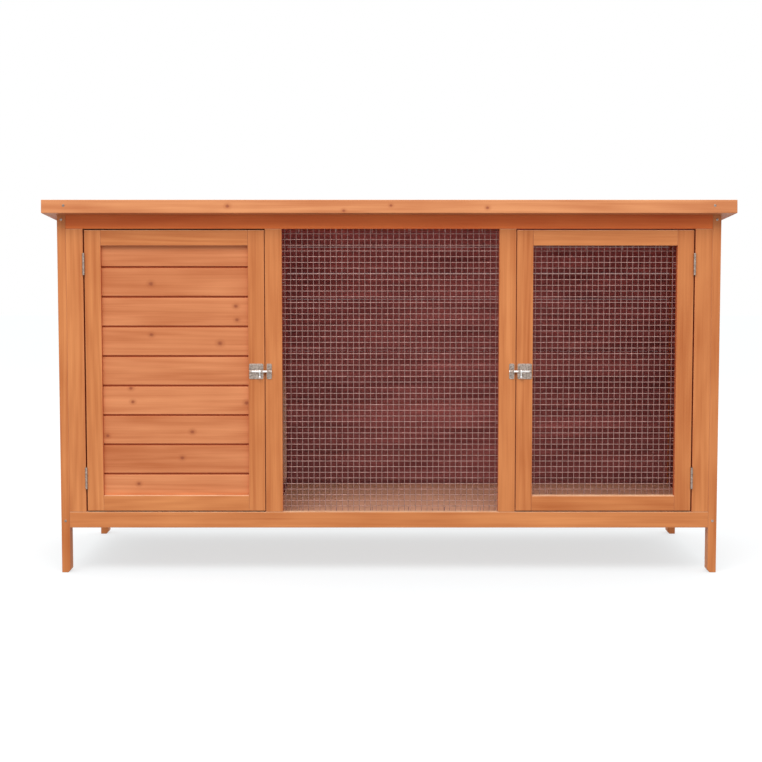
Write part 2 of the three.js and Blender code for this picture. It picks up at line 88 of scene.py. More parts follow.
# Roundings of metal edges, as shares of the metal's thickness or the bar's radius.
STAPLE_EDGE = 0.2
LEAF_EDGE = 0.15
KNUCKLE_EDGE = 0.2
PIN_END = 0.45
PLATE_EDGE = 0.25
LOOP_EDGE = 0.3
ROD_END = 0.35

ZINC_RUNS = 1.04  # how much the runs in its zinc thicken a wire of the mesh

# The stage. Places and sizes are in metres.
TABLE_SIZE = 24
TABLE_GREY = (0.34, 0.34, 0.34, 1)
TABLE_GLOW = (0.93, 0.98, 1.0, 1)  # slightly blue, which evens out the warmth of the hutch
FRONT_LAMP = (-0.5, -2.4, 2.9)
REAR_LAMP = (0.8, 2.6, 2.6)
LAMP_SIZE = (3.0, 1.6)
LAMP_AIM = Vector((0, 0, 0.3))


# ---- Colours ---------------------------------------------------------------------------
def linear(hex_colour):
    """Turns an sRGB hex colour to the linear values that Blender works in."""
    shares = [int(hex_colour[i:i + 2], 16) / 255 for i in (0, 2, 4)]
    return tuple(c / 12.92 if c <= 0.04045 else ((c + 0.055) / 1.055) ** 2.4 for c in shares)


def colour_setting(name, hex_colour, use):
    return bpy.props.FloatVectorProperty(
        name=name, description=use, subtype="COLOR", size=3, min=0, max=1,
        default=linear(hex_colour))


def size_setting(name, size, use):
    return bpy.props.FloatProperty(
        name=name, description=use, default=size, min=0, unit="LENGTH", precision=5)


# ---- Settings --------------------------------------------------------------------------
class HutchTimberSettings(bpy.types.PropertyGroup):
    arris: size_setting("Arris", 0.0007, "Width worn off the corners of each timber")
    board_arris: size_setting("Board arris", 0.0004, "Width worn off the corners of a board")
    board_cover: size_setting("Board cover", 0.0519, "Height of a shiplap board that shows")
    board_joint: size_setting("Board joint", 0.0032, "Height of the groove between two boards")
    joint_depth: size_setting("Joint depth", 0.0048, "Depth of the groove between two boards")
    board_fit: size_setting("Board fit", 0.0002, "Play between a tongue and the next board")
    first_door_board: size_setting("First door board", 0.0395, "Height of the lowest door board")
    brow: size_setting("Brow height", 0.006, "Height of the rounding at a board's top edge")
    brow_depth: size_setting("Brow depth", 0.0005, "Depth of the rounding at a board's top edge")
    sill: size_setting("Sill rounding", 0.0022, "Rounding along the front of a rail's top")
    foot_width: size_setting("Foot chamfer width", 0.004, "Width cut off a leg's inner corner")
    foot_height: size_setting("Foot chamfer height", 0.0048, "Height cut off a leg's inner corner")
    floor_fit: size_setting("Floor fit", 0.0003, "Play above the floor in its groove")
    groove_fit: size_setting("Groove fit", 0.0005, "Play at the floor's edge in its groove")
    top_rail: size_setting("Top rail height", 0.028, "Height of the side top rails")
    roof_fit: size_setting("Roof fit", 0.0003, "Play between the roof's pieces")


class HutchOpeningSettings(bpy.types.PropertyGroup):
    width: size_setting("Doorway width", 0.165, "Width of the rabbit's doorway in the divider")
    height: size_setting("Doorway height", 0.22, "Height of the doorway to its crown")
    sill: size_setting("Doorway sill", 0.02, "Height of the doorway's sill above the floor")
    from_back: size_setting("Doorway from back", 0.055, "Doorway's distance from the back frame")


class HutchWireSettings(bpy.types.PropertyGroup):
    wire: size_setting("Wire", 0.001, "Thickness of the mesh's wires")
    pitch: size_setting("Pitch", 0.01, "Distance from one wire to the next")
    staple: size_setting("Staple", 0.011, "Width of the staples that hold the mesh")
    staple_every: size_setting("Staple spacing", 0.062, "Distance from one staple to the next")


class HutchMetalSettings(bpy.types.PropertyGroup):
    barrel: size_setting("Barrel", 0.0021, "Radius of a hinge barrel")
    pin: size_setting("Pin", 0.001, "Radius of a hinge pin")
    leaf: size_setting("Leaf", 0.001, "Thickness of a hinge leaf")
    leaf_face: size_setting("Leaf face", 0.00115, "From a hinge's axis to a leaf's outer face")
    knuckle_gap: size_setting("Knuckle gap", 0.0003, "Gap between the knuckles of a hinge")
    rod: size_setting("Rod", 0.002, "Radius of a bolt's rod")
    loop_wall: size_setting("Loop wall", 0.001, "Thickness of the loops that hold the rod")
    loop_width: size_setting("Loop width", 0.0035, "Width of the loops on a bolt's plate")
    collar: size_setting("Knob collar", 0.003, "Width of the knob's collar on the rod")
    neck: size_setting("Knob neck", 0.0013, "Radius of the neck between collar and knob")
    play: size_setting("Play", 0.00006, "Play round a pin or a rod")
    keeper_play: size_setting("Keeper play", 0.0003, "Play round the rod in its keeper")
    screw: size_setting("Frame screw", 0.0023, "Radius of the heads of the frame's screws")
    small_screw: size_setting("Small screw", 0.0017, "Radius of the screw heads in the metal")
    screw_inset: size_setting("Screw inset", 0.0045, "From a plate's edges to its screws")
    upper_screw: size_setting("Upper leg screw", 0.6207, "Height of a front leg's upper screw")
    lower_screw: size_setting("Lower leg screw", 0.0919, "Height of a front leg's lower screw")
    edging_screw: size_setting("Edging screw", 0.0385, "From the roof's end to its edging screw")
    edging_rise: size_setting("Edging screw rise", 0.0151, "Edging screw above the edging's foot")
    hinge_screw: size_setting("Hinge screw", 0.0095, "From a hinge's axis back to its screws")
    hinge_reach: size_setting("Hinge screw reach", 0.0125, "Hinge screws above and below middle")
    head_stand: size_setting("Head stand", 0.00025, "Hinge screw heads' offset from the axis")


class HutchFinishSettings(bpy.types.PropertyGroup):
    fir_pale: colour_setting("Fir, pale", "E29155", "Stained fir where the grain is open")
    fir_deep: colour_setting("Fir, deep", "B7622C", "Stained fir along its dense streaks")
    # The edging's colours are a paler copy of the fir's: painted light on the front edging.
    edging_pale: colour_setting("Edging, pale", "E49964", "The front edging where it is pale")
    edging_deep: colour_setting("Edging, deep", "B56130", "The front edging along its streaks")
    # The top rail's colours are a redder, darker copy of the fir's: painted shade under the roof's
    # overhang.
    rail_pale: colour_setting("Top rail, pale", "EA7B34", "The front top rail where it is pale")
    rail_deep: colour_setting("Top rail, deep", "D05B1F", "The front top rail along its streaks")
    board_pale: colour_setting("Boards, pale", "E69562", "Stained boards where they are pale")
    board_deep: colour_setting("Boards, deep", "BF6A3A", "Stained boards along their streaks")
    # The inside colours: a wine-brown stain, made darker as painted shade inside the hutch.
    inside_pale: colour_setting("Inside, pale", "CA7672", "Dark stain inside, where it is thin")
    inside_deep: colour_setting("Inside, deep", "743A3A", "Dark stain inside, where it is thick")
    knot: colour_setting("Knot", "96492C", "The dark heart of a knot")
    collar: colour_setting("Collar", "AE5C30", "The dense wood round a knot")
    # The arris colour is worn stain, and on faces that rise also a painted highlight.
    arris: colour_setting("Arris", "EEC39E", "Stain rubbed thin at a timber's upper corners")
    # The joint colour is partly stain that gathered in joints and partly painted shade of the
    # gaps.
    joint: colour_setting("Joint", "CC683A", "Stain that gathered in a joint")
    end_grain: colour_setting("End grain", "A8592C", "Stain soaked into a cut end")
    plywood: colour_setting("Plywood", "F8BD9A", "Face veneer of the floor and divider")
    felt: colour_setting("Roofing felt", "3A4541", "Mineral grit on the roofing felt")
    # The wire's pink warmth is a painted reflection of the stained wood.
    wire: colour_setting("Wire", "B8958E", "Zinc on the mesh's wires")
    zinc: colour_setting("Bright zinc", "E6E4E2", "Bright zinc on rods and knobs")
    dull_zinc: colour_setting("Dull zinc", "A99A90", "Dull zinc on hinges, plates and screws")


class HutchStageSettings(bpy.types.PropertyGroup):
    lens: bpy.props.FloatProperty(
        name="Lens", description="Focal length of the camera", default=75.9, min=1, unit="CAMERA")
    tilt: bpy.props.FloatProperty(
        name="Tilt", description="How far the camera looks down", subtype="ANGLE",
        default=math.radians(4.46))
    eye: bpy.props.FloatVectorProperty(
        name="Eye", description="Where the camera stands", subtype="XYZ", unit="LENGTH",
        default=(-0.0141, -3.014, 0.558))
    ceiling: bpy.props.FloatProperty(
        name="Ceiling", description="Brightness of the room overhead", default=1.4, min=0)
    walls: bpy.props.FloatProperty(
        name="Walls", description="Brightness of the room at the hutch's height", default=0.68,
        min=0)
    ground: bpy.props.FloatProperty(
        name="Ground", description="Brightness of the room below the hutch", default=0.35, min=0)
    table: bpy.props.FloatProperty(
        name="Table", description="Glow of the lit table that the hutch stands on",
        default=0.635, min=0)
    lamp: bpy.props.FloatProperty(
        name="Lamp", description="Power of the large soft lamp", default=62, min=0, unit="POWER")
    rear_share: bpy.props.FloatProperty(
        name="Rear share", description="Power of the lamp behind, as a share of the front one's",
        default=0.3, min=0, max=1, subtype="FACTOR")


# ---- Shaping ---------------------------------------------------------------------------
def select_only(*pieces):
    if bpy.context.mode != "OBJECT":
        bpy.ops.object.mode_set(mode="OBJECT")
    bpy.ops.object.select_all(action="DESELECT")
    for piece in pieces:
        piece.select_set(True)
        bpy.context.view_layer.objects.active = piece


def settle(piece):
    """Moves a piece's place, turn and scale into its mesh."""
    select_only(piece)
    bpy.ops.object.transform_apply(location=True, rotation=True, scale=True)
    return piece


def name_new(name):
    """Names the primitive that was just added and settles it."""
    piece = bpy.context.object
    piece.name = name
    piece.data.name = name
    return settle(piece)


def new_block(name, low, high):
    select_only()
    low, high = Vector(low), Vector(high)
    bpy.ops.mesh.primitive_cube_add(size=1, location=(low + high) / 2, scale=high - low)
    return name_new(name)


def new_bar(name, start, end, radius, sides):
    """A round bar between two points."""
    select_only()
    start, end = Vector(start), Vector(end)
    turn = (end - start).to_track_quat("Z", "Y").to_euler()
    bpy.ops.mesh.primitive_cylinder_add(
        vertices=sides, radius=radius, depth=(end - start).length,
        location=(start + end) / 2, rotation=turn)
    return name_new(name)


def choose(piece, kind, test):
    """Opens a piece in edit mode with just the parts selected that pass a test."""
    select_only(piece)
    bpy.ops.object.mode_set(mode="EDIT")
    bpy.ops.mesh.select_mode(type=kind)
    bpy.ops.mesh.select_all(action="DESELECT")
    mesh = bmesh.from_edit_mesh(piece.data)
    for part in {"VERT": mesh.verts, "EDGE": mesh.edges, "FACE": mesh.faces}[kind]:
        if test(part):
            part.select_set(True)
    mesh.select_flush_mode()
    bmesh.update_edit_mesh(piece.data)


def close_edit():
    bpy.ops.object.mode_set(mode="OBJECT")


def pull(distance):
    """Extrudes the selected faces by a vector."""
    bpy.ops.mesh.extrude_region_move(TRANSFORM_OT_translate={"value": distance})


def cut(piece, point, normal, drop=True):
    """Cuts a piece along a plane. What lies on the normal's side goes, unless drop is off."""
    select_only(piece)
    bpy.ops.object.mode_set(mode="EDIT")
    bpy.ops.mesh.select_all(action="SELECT")
    bpy.ops.mesh.bisect(plane_co=point, plane_no=normal, clear_outer=drop, use_fill=drop)
    close_edit()


def apply_modifier(piece, kind, settings):
    select_only(piece)
    modifier = piece.modifiers.new(kind, kind)
    for name, value in settings.items():
        setattr(modifier, name, value)
    bpy.ops.object.modifier_apply(modifier=modifier.name)


def ease(piece, width, segments=2):
    """Takes the sharpness off a piece's corners."""
    apply_modifier(piece, "BEVEL", {
        "width": width, "segments": segments, "limit_method": "ANGLE",
        "angle_limit": CORNER_ANGLE})


def combine(piece, other, operation):
    """Joins two closed shapes into one, or takes the second out of the first."""
    apply_modifier(piece, "BOOLEAN", {
        "object": other, "operation": operation, "solver": "EXACT"})
    bpy.data.objects.remove(other)


def smooth(piece):
    select_only(piece)
    bpy.ops.object.shade_smooth_by_angle(angle=CREASE_ANGLE)


def copy_to(source, name, shift, mirror=False):
    """Copies a piece with a mesh of its own to another place, mirrored left to right if told."""
    select_only(source)
    bpy.ops.object.duplicate(linked=False)
    piece = bpy.context.object
    piece.name = name
    piece.data.name = name
    if mirror:
        piece.scale.x = -1
    piece.location = shift
    settle(piece)
    if mirror:
        choose(piece, "FACE", lambda face: True)
        bpy.ops.mesh.normals_make_consistent(inside=False)
        close_edit()
    return piece


def hand_over(piece, finish, body, replaced=()):
    """Gives a finished piece its material and slot, and the body that it moves with."""
    piece.data.materials.clear()
    piece.data.materials.append(finished(finish))
    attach(piece, body)
    for node in replaced:
        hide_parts(node)


# ---- Timber ----------------------------------------------------------------------------
def lay_grain(piece, along, front=None):
    """Stores each vertex's place along, across and through the timber for its material.

    A shift of its own keeps any two timbers from showing the same grain. Front is the way that
    the face of a timber looks whose sides lie in joints.
    """
    chance = random.Random(piece.name)
    shift = [chance.uniform(0, 9), chance.uniform(0.02, 0.09), chance.uniform(0.01, 0.05)]
    tone = chance.uniform(-1, 1)
    mesh = piece.data
    grain = [vertex.co[axis] + shift[i] for vertex in mesh.vertices
             for i, axis in enumerate(GRAIN_AXES[along])]
    lengthways = [abs(face.normal[GRAIN_AXES[along][0]]) for face in mesh.polygons]
    # Worn corners, with a painted highlight on faces that rise.
    rubbed = [wear_and_highlight_share(face.normal, front is not None) for face in mesh.polygons]
    store(mesh, "grain", "FLOAT_VECTOR", "POINT", grain)
    store(mesh, "tone", "FLOAT", "POINT", [tone] * len(mesh.vertices))
    store(mesh, "rubbed", "FLOAT", "FACE", rubbed)
    store(mesh, "cut_end", "FLOAT", "FACE", [float(share > FACING) for share in lengthways])
    # The joints' redder colour: partly gathered stain, partly painted shade of the gaps.
    store(mesh, "soaked", "FLOAT", "FACE", find_joints_in_shade(mesh, front))


def find_joints_in_shade(mesh, front):
    """1 for the faces that get the joint colour: a timber's sides, and what lies behind its face.
    The colour is partly stain that gathers there and partly painted shade of the gaps.
    """
    if front is None:
        return [0.0] * len(mesh.polygons)
    proud = max(face.center.dot(front) for face in mesh.polygons)
    top = max(face.center.z for face in mesh.polygons)
    shares = []
    for face in mesh.polygons:
        facing = face.normal.dot(front)
        sunk = proud - face.center.dot(front) > JOINT_SLACK
        sill = face.normal.z > RISING and top - face.center.z < JOINT_SLACK
        shares.append(float(sunk if facing > LOOKING else facing > -LOOKING and not sill))
    return shares


def wear_and_highlight_share(normal, in_front):
    """How far a face turns to the pale arris colour: most on sills in the front, least on sharp
    corners. On faces that rise this is a painted highlight as well as worn stain.
    """
    if normal.z > RISING:
        wear = ROUNDING_WEAR_AND_HIGHLIGHT if normal.z < SQUARE else SILL_WEAR_AND_HIGHLIGHT
        return wear if in_front else wear * OFF_FRONT_SHARE
    return CORNER_WEAR if max(abs(share) for share in normal) < SQUARE else 0.0


def store(mesh, name, kind, domain, values):
    attribute = mesh.attributes.new(name, kind, domain)
    attribute.data.foreach_set("vector" if kind == "FLOAT_VECTOR" else "value", values)


def finish_timber(piece, along, body, replaced, finish="Stained fir", front=None):
    """Eases a frame timber's corners, lays its grain and hands it over."""
    ease(piece, bpy.context.scene.hutch_timber.arris)
    lay_grain(piece, along, front)
    hand_over(piece, finish, body, replaced)


def round_sill(piece):
    """Rounds the front edge of a rail's top, which its material makes pale: wear from hands and
    paws, and a painted highlight.
    """
    corners = [vertex.co for vertex in piece.data.vertices]
    top = max(place.z for place in corners)
    front = min(place.y for place in corners)
    choose(piece, "EDGE", lambda edge: all(
        top - vertex.co.z < SAME_PLACE and vertex.co.y - front < JOINT_SLACK
        for vertex in edge.verts))
    bpy.ops.mesh.bevel(
        offset=bpy.context.scene.hutch_timber.sill, segments=3, affect="EDGES")
    close_edit()


def block_of(node):
    """A block with a CAD node's place and size."""
    return new_block(node + "_timber", *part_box(node))


def roof_line():
    """A point under the roof and the upward normal of the plane that the tops are cut to."""
    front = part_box("left_front_leg")
    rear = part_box("left_rear_leg")
    fall = (front[1].z - rear[1].z) / (rear[0].y - front[0].y)
    return Vector((0, front[0].y, front[1].z)), Vector((0, fall, 1)).normalized()


def cut_under_roof(piece, lower=0.0):
    """Cuts a piece's top to the roof's slope, lower by a height."""
    point, normal = roof_line()
    cut(piece, point - UP * lower, normal)


def make_leg(side, end, inward):
    sizes = bpy.context.scene.hutch_timber
    node = f"{side}_{end}_leg"
    leg = block_of(node)
    cut_under_roof(leg)
    low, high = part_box(node)
    inner = high.x if inward > 0 else low.x
    normal = Vector((inward * sizes.foot_height, 0, -sizes.foot_width)).normalized()
    cut(leg, (inner, low.y, sizes.foot_height), normal)
    finish_timber(leg, "z", "root", [node])


def make_grooved_rail(node, inward):
    """A bottom rail with the groove that the floor is housed in."""
    sizes = bpy.context.scene.hutch_timber
    rail = block_of(node)
    floor_low, floor_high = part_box("floor_panel")
    low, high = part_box(node)
    inner = high.y if inward > 0 else low.y
    edge = floor_low.y if inward > 0 else floor_high.y
    bed = abs(inner - edge) + sizes.groove_fit
    top = floor_high.z + sizes.floor_fit
    for z in (floor_low.z, top):
        cut(rail, (0, inner, z), UP, drop=False)
    choose(rail, "FACE", lambda face: abs(face.calc_center_median().y - inner) < SAME_PLACE
           and floor_low.z < face.calc_center_median().z < top)
    pull((0, -inward * bed, 0))
    close_edit()
    finish_timber(rail, "x", "root", [node], front=FRONT * inward)
    return rail


def make_side_top_rail(node):
    sizes = bpy.context.scene.hutch_timber
    rail = block_of(node)
    cut_under_roof(rail)
    point, normal = roof_line()
    cut(rail, point - UP * sizes.top_rail, -normal)
    finish_timber(rail, "y", "root", [node])
    stain_and_shade_inside(rail)


def new_board(name, length, thick):
    """A shiplap board along X from the origin, its face to the front and its tongue on top."""
    sizes = bpy.context.scene.hutch_timber
    shoulder = sizes.board_cover - sizes.board_joint
    board = new_block(name, (0, 0, 0), (length, thick, shoulder))
    cut(board, (0, sizes.joint_depth, 0), (0, 1, 0), drop=False)
    choose(board, "FACE", lambda face: face.normal.z > FACING
           and face.calc_center_median().y > sizes.joint_depth)
    pull((0, 0, sizes.board_joint - sizes.board_fit))
    close_edit()
    foot = shoulder - sizes.brow
    bend = foot + sizes.brow * BROW_BEND[0]
    for level in (foot, bend):
        cut(board, (0, 0, level), UP, drop=False)
    lean = sizes.brow_depth * BROW_BEND[1]
    for level, depth in ((bend, lean), (shoulder, sizes.brow_depth - lean)):
        choose(board, "VERT", lambda vertex: vertex.co.y < sizes.brow_depth
               and vertex.co.z > level - SAME_PLACE)
        bpy.ops.transform.translate(value=(0, depth, 0))
        close_edit()
    return board


def finish_board(board, along, outward, finish, body, node):
    ease(board, bpy.context.scene.hutch_timber.board_arris)
    lay_grain(board, along, outward)
    hand_over(board, finish, body, [node])
    if body == "root":
        stain_and_shade_inside(board)


def lay_boards(wall, node, along, turn, body, first, top_cut):
    """Boards up a wall, from the lowest one's top joint at a height to the wall's top."""
    sizes = bpy.context.scene.hutch_timber
    low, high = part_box(node)
    run = {"x": high.x - low.x, "y": high.y - low.y}[along]
    thick = {"x": high.y - low.y, "y": high.x - low.x}[along]
    source = new_board(wall + "_board", run, thick)
    start = {0: low, 90: Vector((high.x, low.y, 0)), 180: Vector((high.x, high.y, 0)),
             -90: Vector((low.x, high.y, 0))}[turn]
    outward = Matrix.Rotation(math.radians(turn), 3, "Z") @ FRONT
    finish = "Stained fir boards of the door" if wall == "left_door" else "Stained fir boards"
    base = first - sizes.board_cover
    number = 1
    while base < high.z - sizes.board_arris:
        board = copy_to(source, f"{wall}_board_{number}", (0, 0, 0))
        board.rotation_euler.z = math.radians(turn)
        board.location = (start.x, start.y, base)
        settle(board)
        if base < low.z:
            cut(board, (0, 0, low.z), -UP)
        if base + sizes.board_cover > high.z - sizes.board_cover:
            top_cut(board)
        finish_board(board, along, outward, finish, body, node)
        base += sizes.board_cover
        number += 1
    bpy.data.objects.remove(source)


def stain_and_shade_inside(piece, way=None):
    """Gives the dark inside finish to the faces that look one way, or else to those that look
    inwards. It is a wine-brown stain, made darker as painted shade inside the hutch.
    """
    piece.data.materials.append(finished("Dark stained boards, inside"))
    for face in piece.data.polygons:
        if way is None:
            seen = face.normal.dot(face.center) < 0 and abs(face.normal.z) < LOOKING
        else:
            seen = face.normal.dot(way) > FACING
        if seen:
            face.material_index = 1


# ---- Materials -------------------------------------------------------------------------
def add_node(tree, kind, settings, inputs):
    """Adds a node with its settings. An input takes a value, a node or one of its outputs."""
    node = tree.nodes.new(kind)
    for name, value in settings.items():
        setattr(node, name, value)
    for key, value in inputs.items():
        source = value.outputs[0] if isinstance(value, bpy.types.Node) else value
        if isinstance(source, bpy.types.NodeSocket):
            tree.links.new(source, node.inputs[key])
        else:
            node.inputs[key].default_value = value
    return node


def start_material(name, shader_values):
    """A new material whose one shader holds the values that are the same all over."""
    material = bpy.data.materials.new(name)
    material.use_nodes = True
    shader = material.node_tree.nodes["Principled BSDF"]
    for key, value in shader_values.items():
        shader.inputs[key].default_value = value
    return material.node_tree, shader


def solid(colour):
    return (*colour, 1)


def paint_grain(tree, pale, deep):
    """Fir: soft streaks and growth lines that run along the timber. Returns colour and height."""
    place = add_node(tree, "ShaderNodeAttribute", {"attribute_name": "grain"}, {})
    place = place.outputs["Vector"]
    tone = add_node(tree, "ShaderNodeAttribute", {"attribute_name": "tone"}, {})
    # Bands of early and late wood, 8 to 20 mm wide and half a metre long.
    long_bands = add_node(tree, "ShaderNodeMapping", {}, {"Vector": place, "Scale": (2, 75, 75)})
    bands = add_node(tree, "ShaderNodeTexNoise", {},
                     {"Vector": long_bands, "Scale": 1.0, "Detail": 4.0, "Roughness": 0.6,
                      "Distortion": 0.3})
    # Fibres 2 to 3 mm wide.
    long_fibres = add_node(tree, "ShaderNodeMapping", {},
                           {"Vector": place, "Scale": (9, 420, 420)})
    fibres = add_node(tree, "ShaderNodeTexNoise", {},
                      {"Vector": long_fibres, "Scale": 1.0, "Detail": 2.0})
    # Patches of stain that took unevenly, 50 mm by 150 mm.
    long_patches = add_node(tree, "ShaderNodeMapping", {},
                            {"Vector": place, "Scale": (7, 22, 22)})
    patches = add_node(tree, "ShaderNodeTexNoise", {},
                       {"Vector": long_patches, "Scale": 1.0, "Detail": 2.0, "Roughness": 0.5})
    # Growth lines: contours of a slow swell, 4 to 12 mm apart, that close into flames.
    long_swell = add_node(tree, "ShaderNodeMapping", {},
                          {"Vector": place, "Scale": (1.1, 17, 17)})
    swell = add_node(tree, "ShaderNodeTexNoise", {},
                     {"Vector": long_swell, "Scale": 1.0, "Detail": 1.0, "Roughness": 0.4})
    phase = add_node(tree, "ShaderNodeMath", {"operation": "MULTIPLY"}, {0: swell, 1: 62.0})
    lines = add_node(tree, "ShaderNodeMath", {"operation": "SINE"}, {0: phase})
    # The noises swing about a half, and so does their mix.
    shares = ((bands, 1.1), (fibres, 0.45), (patches, 0.95))
    total = 0.5 - 0.5 * sum(share for part, share in shares)
    for part, share in shares + ((lines, 0.09),):
        total = add_node(tree, "ShaderNodeMath", {"operation": "MULTIPLY_ADD"},
                         {0: part, 1: share, 2: total})
    toned = add_node(tree, "ShaderNodeMath", {"operation": "MULTIPLY_ADD"},
                     {0: tone.outputs["Fac"], 1: 0.12, 2: total})
    colour = add_node(tree, "ShaderNodeMix", {"data_type": "RGBA"},
                      {"Factor": toned, "A": solid(deep), "B": solid(pale)})
    return colour.outputs["Result"], toned


def soak_and_shade_joints(tree, colour, finishes):
    """The joints turn redder than the faces: partly stain that dried there, partly painted shade
    of the narrow gaps.
    """
    soaked = add_node(tree, "ShaderNodeAttribute", {"attribute_name": "soaked"}, {})
    colour = add_node(tree, "ShaderNodeMix", {"data_type": "RGBA"},
                      {"Factor": soaked.outputs["Fac"], "A": colour, "B": solid(finishes.joint)})
    return colour.outputs["Result"]


def wear_highlight_and_soak(tree, colour, finishes):
    """Stain worn thin along the corners, with a painted highlight on faces that rise, and soaked
    in at the cut ends.
    """
    colour = soak_and_shade_joints(tree, colour, finishes)
    rubbed = add_node(tree, "ShaderNodeAttribute", {"attribute_name": "rubbed"}, {})
    place = add_node(tree, "ShaderNodeAttribute", {"attribute_name": "grain"}, {})
    # The wear and the painted highlight come and go every 20 mm or so.
    wear = add_node(tree, "ShaderNodeTexNoise", {},
                    {"Vector": place.outputs["Vector"], "Scale": 45.0, "Detail": 2.0})
    wear = add_node(tree, "ShaderNodeMapRange", {},
                    {"Value": wear, "From Min": 0.3, "From Max": 0.7,
                     "To Min": 0.65, "To Max": 1.0})
    rubbed = add_node(tree, "ShaderNodeMath", {"operation": "MULTIPLY"},
                      {0: rubbed.outputs["Fac"], 1: wear})
    # Mixes in the arris colour: worn stain, and a painted highlight on faces that rise.
    colour = add_node(tree, "ShaderNodeMix", {"data_type": "RGBA"},
                      {"Factor": rubbed, "A": colour, "B": solid(finishes.arris)})
    ends = add_node(tree, "ShaderNodeAttribute", {"attribute_name": "cut_end"}, {})
    colour = add_node(tree, "ShaderNodeMix", {"data_type": "RGBA"},
                      {"Factor": ends.outputs["Fac"], "A": colour.outputs["Result"],
                       "B": solid(finishes.end_grain)})
    return colour.outputs["Result"]


KNOT_FLATNESS = 1.2  # how much wider than high a knot in the front is
KNOT_MERGE = 0.05  # softens the line where two knots' surroundings meet, in knot radii
KNOTS_PER_METRE = (3.4, 14)  # along a board and across it
GROWN_KNOT = 0.0038  # a radius, in metres

# Knots that lie in the front: across, up and radius, in metres.
EDGING_KNOTS = [(-0.278, 0.643, 0.0034), (-0.078, 0.635, 0.0028), (0.003, 0.644, 0.0026),
                (0.169, 0.640, 0.0030)]
DOOR_KNOTS = [
    (-0.416, 0.509, 0.0042), (-0.268, 0.470, 0.0036), (-0.266, 0.446, 0.0034),
    (-0.416, 0.420, 0.0036), (-0.296, 0.405, 0.0044), (-0.453, 0.326, 0.0034),
    (-0.450, 0.302, 0.0032), (-0.250, 0.300, 0.0040), (-0.346, 0.249, 0.0038),
    (-0.495, 0.242, 0.0034), (-0.364, 0.203, 0.0036), (-0.441, 0.157, 0.0034)]


def nearest_placed_knot(tree, knots):
    """Distance in knot radii to the nearest of a few knots that lie in the front."""
    place = add_node(tree, "ShaderNodeTexCoord", {}, {}).outputs["Object"]
    flat = add_node(tree, "ShaderNodeVectorMath", {"operation": "MULTIPLY"},
                    {0: place, 1: (1, 0, KNOT_FLATNESS)})
    nearest = None
    for x, z, size in knots:
        away = add_node(tree, "ShaderNodeVectorMath", {"operation": "DISTANCE"},
                        {0: flat, 1: (x, 0, z * KNOT_FLATNESS)})
        radii = add_node(tree, "ShaderNodeMath", {"operation": "DIVIDE"},
                         {0: away.outputs["Value"], 1: size})
        if nearest:
            radii = add_node(tree, "ShaderNodeMath", {"operation": "SMOOTH_MIN"},
                             {0: nearest, 1: radii, 2: KNOT_MERGE})
        nearest = radii
    return nearest


def nearest_grown_knot(tree):
    """Distance in knot radii to the nearest knot, one in about 300 mm of each board."""
    place = add_node(tree, "ShaderNodeAttribute", {"attribute_name": "grain"}, {})
    along, across = KNOTS_PER_METRE
    cells = add_node(tree, "ShaderNodeMapping", {},
                     {"Vector": place.outputs["Vector"], "Scale": (along, across, 0)})
    knots = add_node(tree, "ShaderNodeTexVoronoi", {"voronoi_dimensions": "2D"},
                     {"Vector": cells, "Scale": 1.0, "Randomness": 1.0})
    away = add_node(tree, "ShaderNodeVectorMath", {"operation": "SUBTRACT"},
                    {0: cells, 1: knots.outputs["Position"]})
    real = add_node(tree, "ShaderNodeVectorMath", {"operation": "MULTIPLY"},
                    {0: away, 1: (1 / along, 1 / across, 0)})
    length = add_node(tree, "ShaderNodeVectorMath", {"operation": "LENGTH"}, {0: real})
    return add_node(tree, "ShaderNodeMath", {"operation": "DIVIDE"},
                    {0: length.outputs["Value"], 1: GROWN_KNOT})


def paint_knots(tree, colour, radii, finishes):
    """A dark heart and a redder collar where the grain runs round each knot."""
    place = add_node(tree, "ShaderNodeTexCoord", {}, {}).outputs["Object"]
    # The edge wanders every 2 to 3 mm.
    ragged = add_node(tree, "ShaderNodeTexNoise", {},
                      {"Vector": place, "Scale": 420.0, "Detail": 1.0})
    edge = add_node(tree, "ShaderNodeMath", {"operation": "MULTIPLY_ADD"},
                    {0: ragged, 1: 0.5, 2: radii})
    collar = add_node(tree, "ShaderNodeMapRange", {"interpolation_type": "SMOOTHSTEP"},
                      {"Value": edge, "From Min": 1.0, "From Max": 3.2,
                       "To Min": 0.42, "To Max": 0.0})
    colour = add_node(tree, "ShaderNodeMix", {"data_type": "RGBA"},
                      {"Factor": collar.outputs["Result"], "A": colour,
                       "B": solid(finishes.collar)})
    heart = add_node(tree, "ShaderNodeMapRange", {"interpolation_type": "SMOOTHSTEP"},
                     {"Value": edge, "From Min": 0.6, "From Max": 1.55,
                      "To Min": 0.8, "To Max": 0.0})
    colour = add_node(tree, "ShaderNodeMix", {"data_type": "RGBA"},
                      {"Factor": heart.outputs["Result"], "A": colour.outputs["Result"],
                       "B": solid(finishes.knot)})
    return colour.outputs["Result"]


def finish_wood(tree, shader, colour, height, rough, relief):
    """Links the colour, and lets the streaks show in the gloss and as a shallow relief."""
    spread = 0.08
    tree.links.new(colour, shader.inputs["Base Color"])
    gloss = add_node(tree, "ShaderNodeMapRange", {},
                     {"Value": height, "To Min": rough + spread, "To Max": rough - spread})
    tree.links.new(gloss.outputs["Result"], shader.inputs["Roughness"])
    bump = add_node(tree, "ShaderNodeBump", {},
                    {"Strength": 0.35, "Distance": relief, "Height": height})
    tree.links.new(bump.outputs["Normal"], shader.inputs["Normal"])


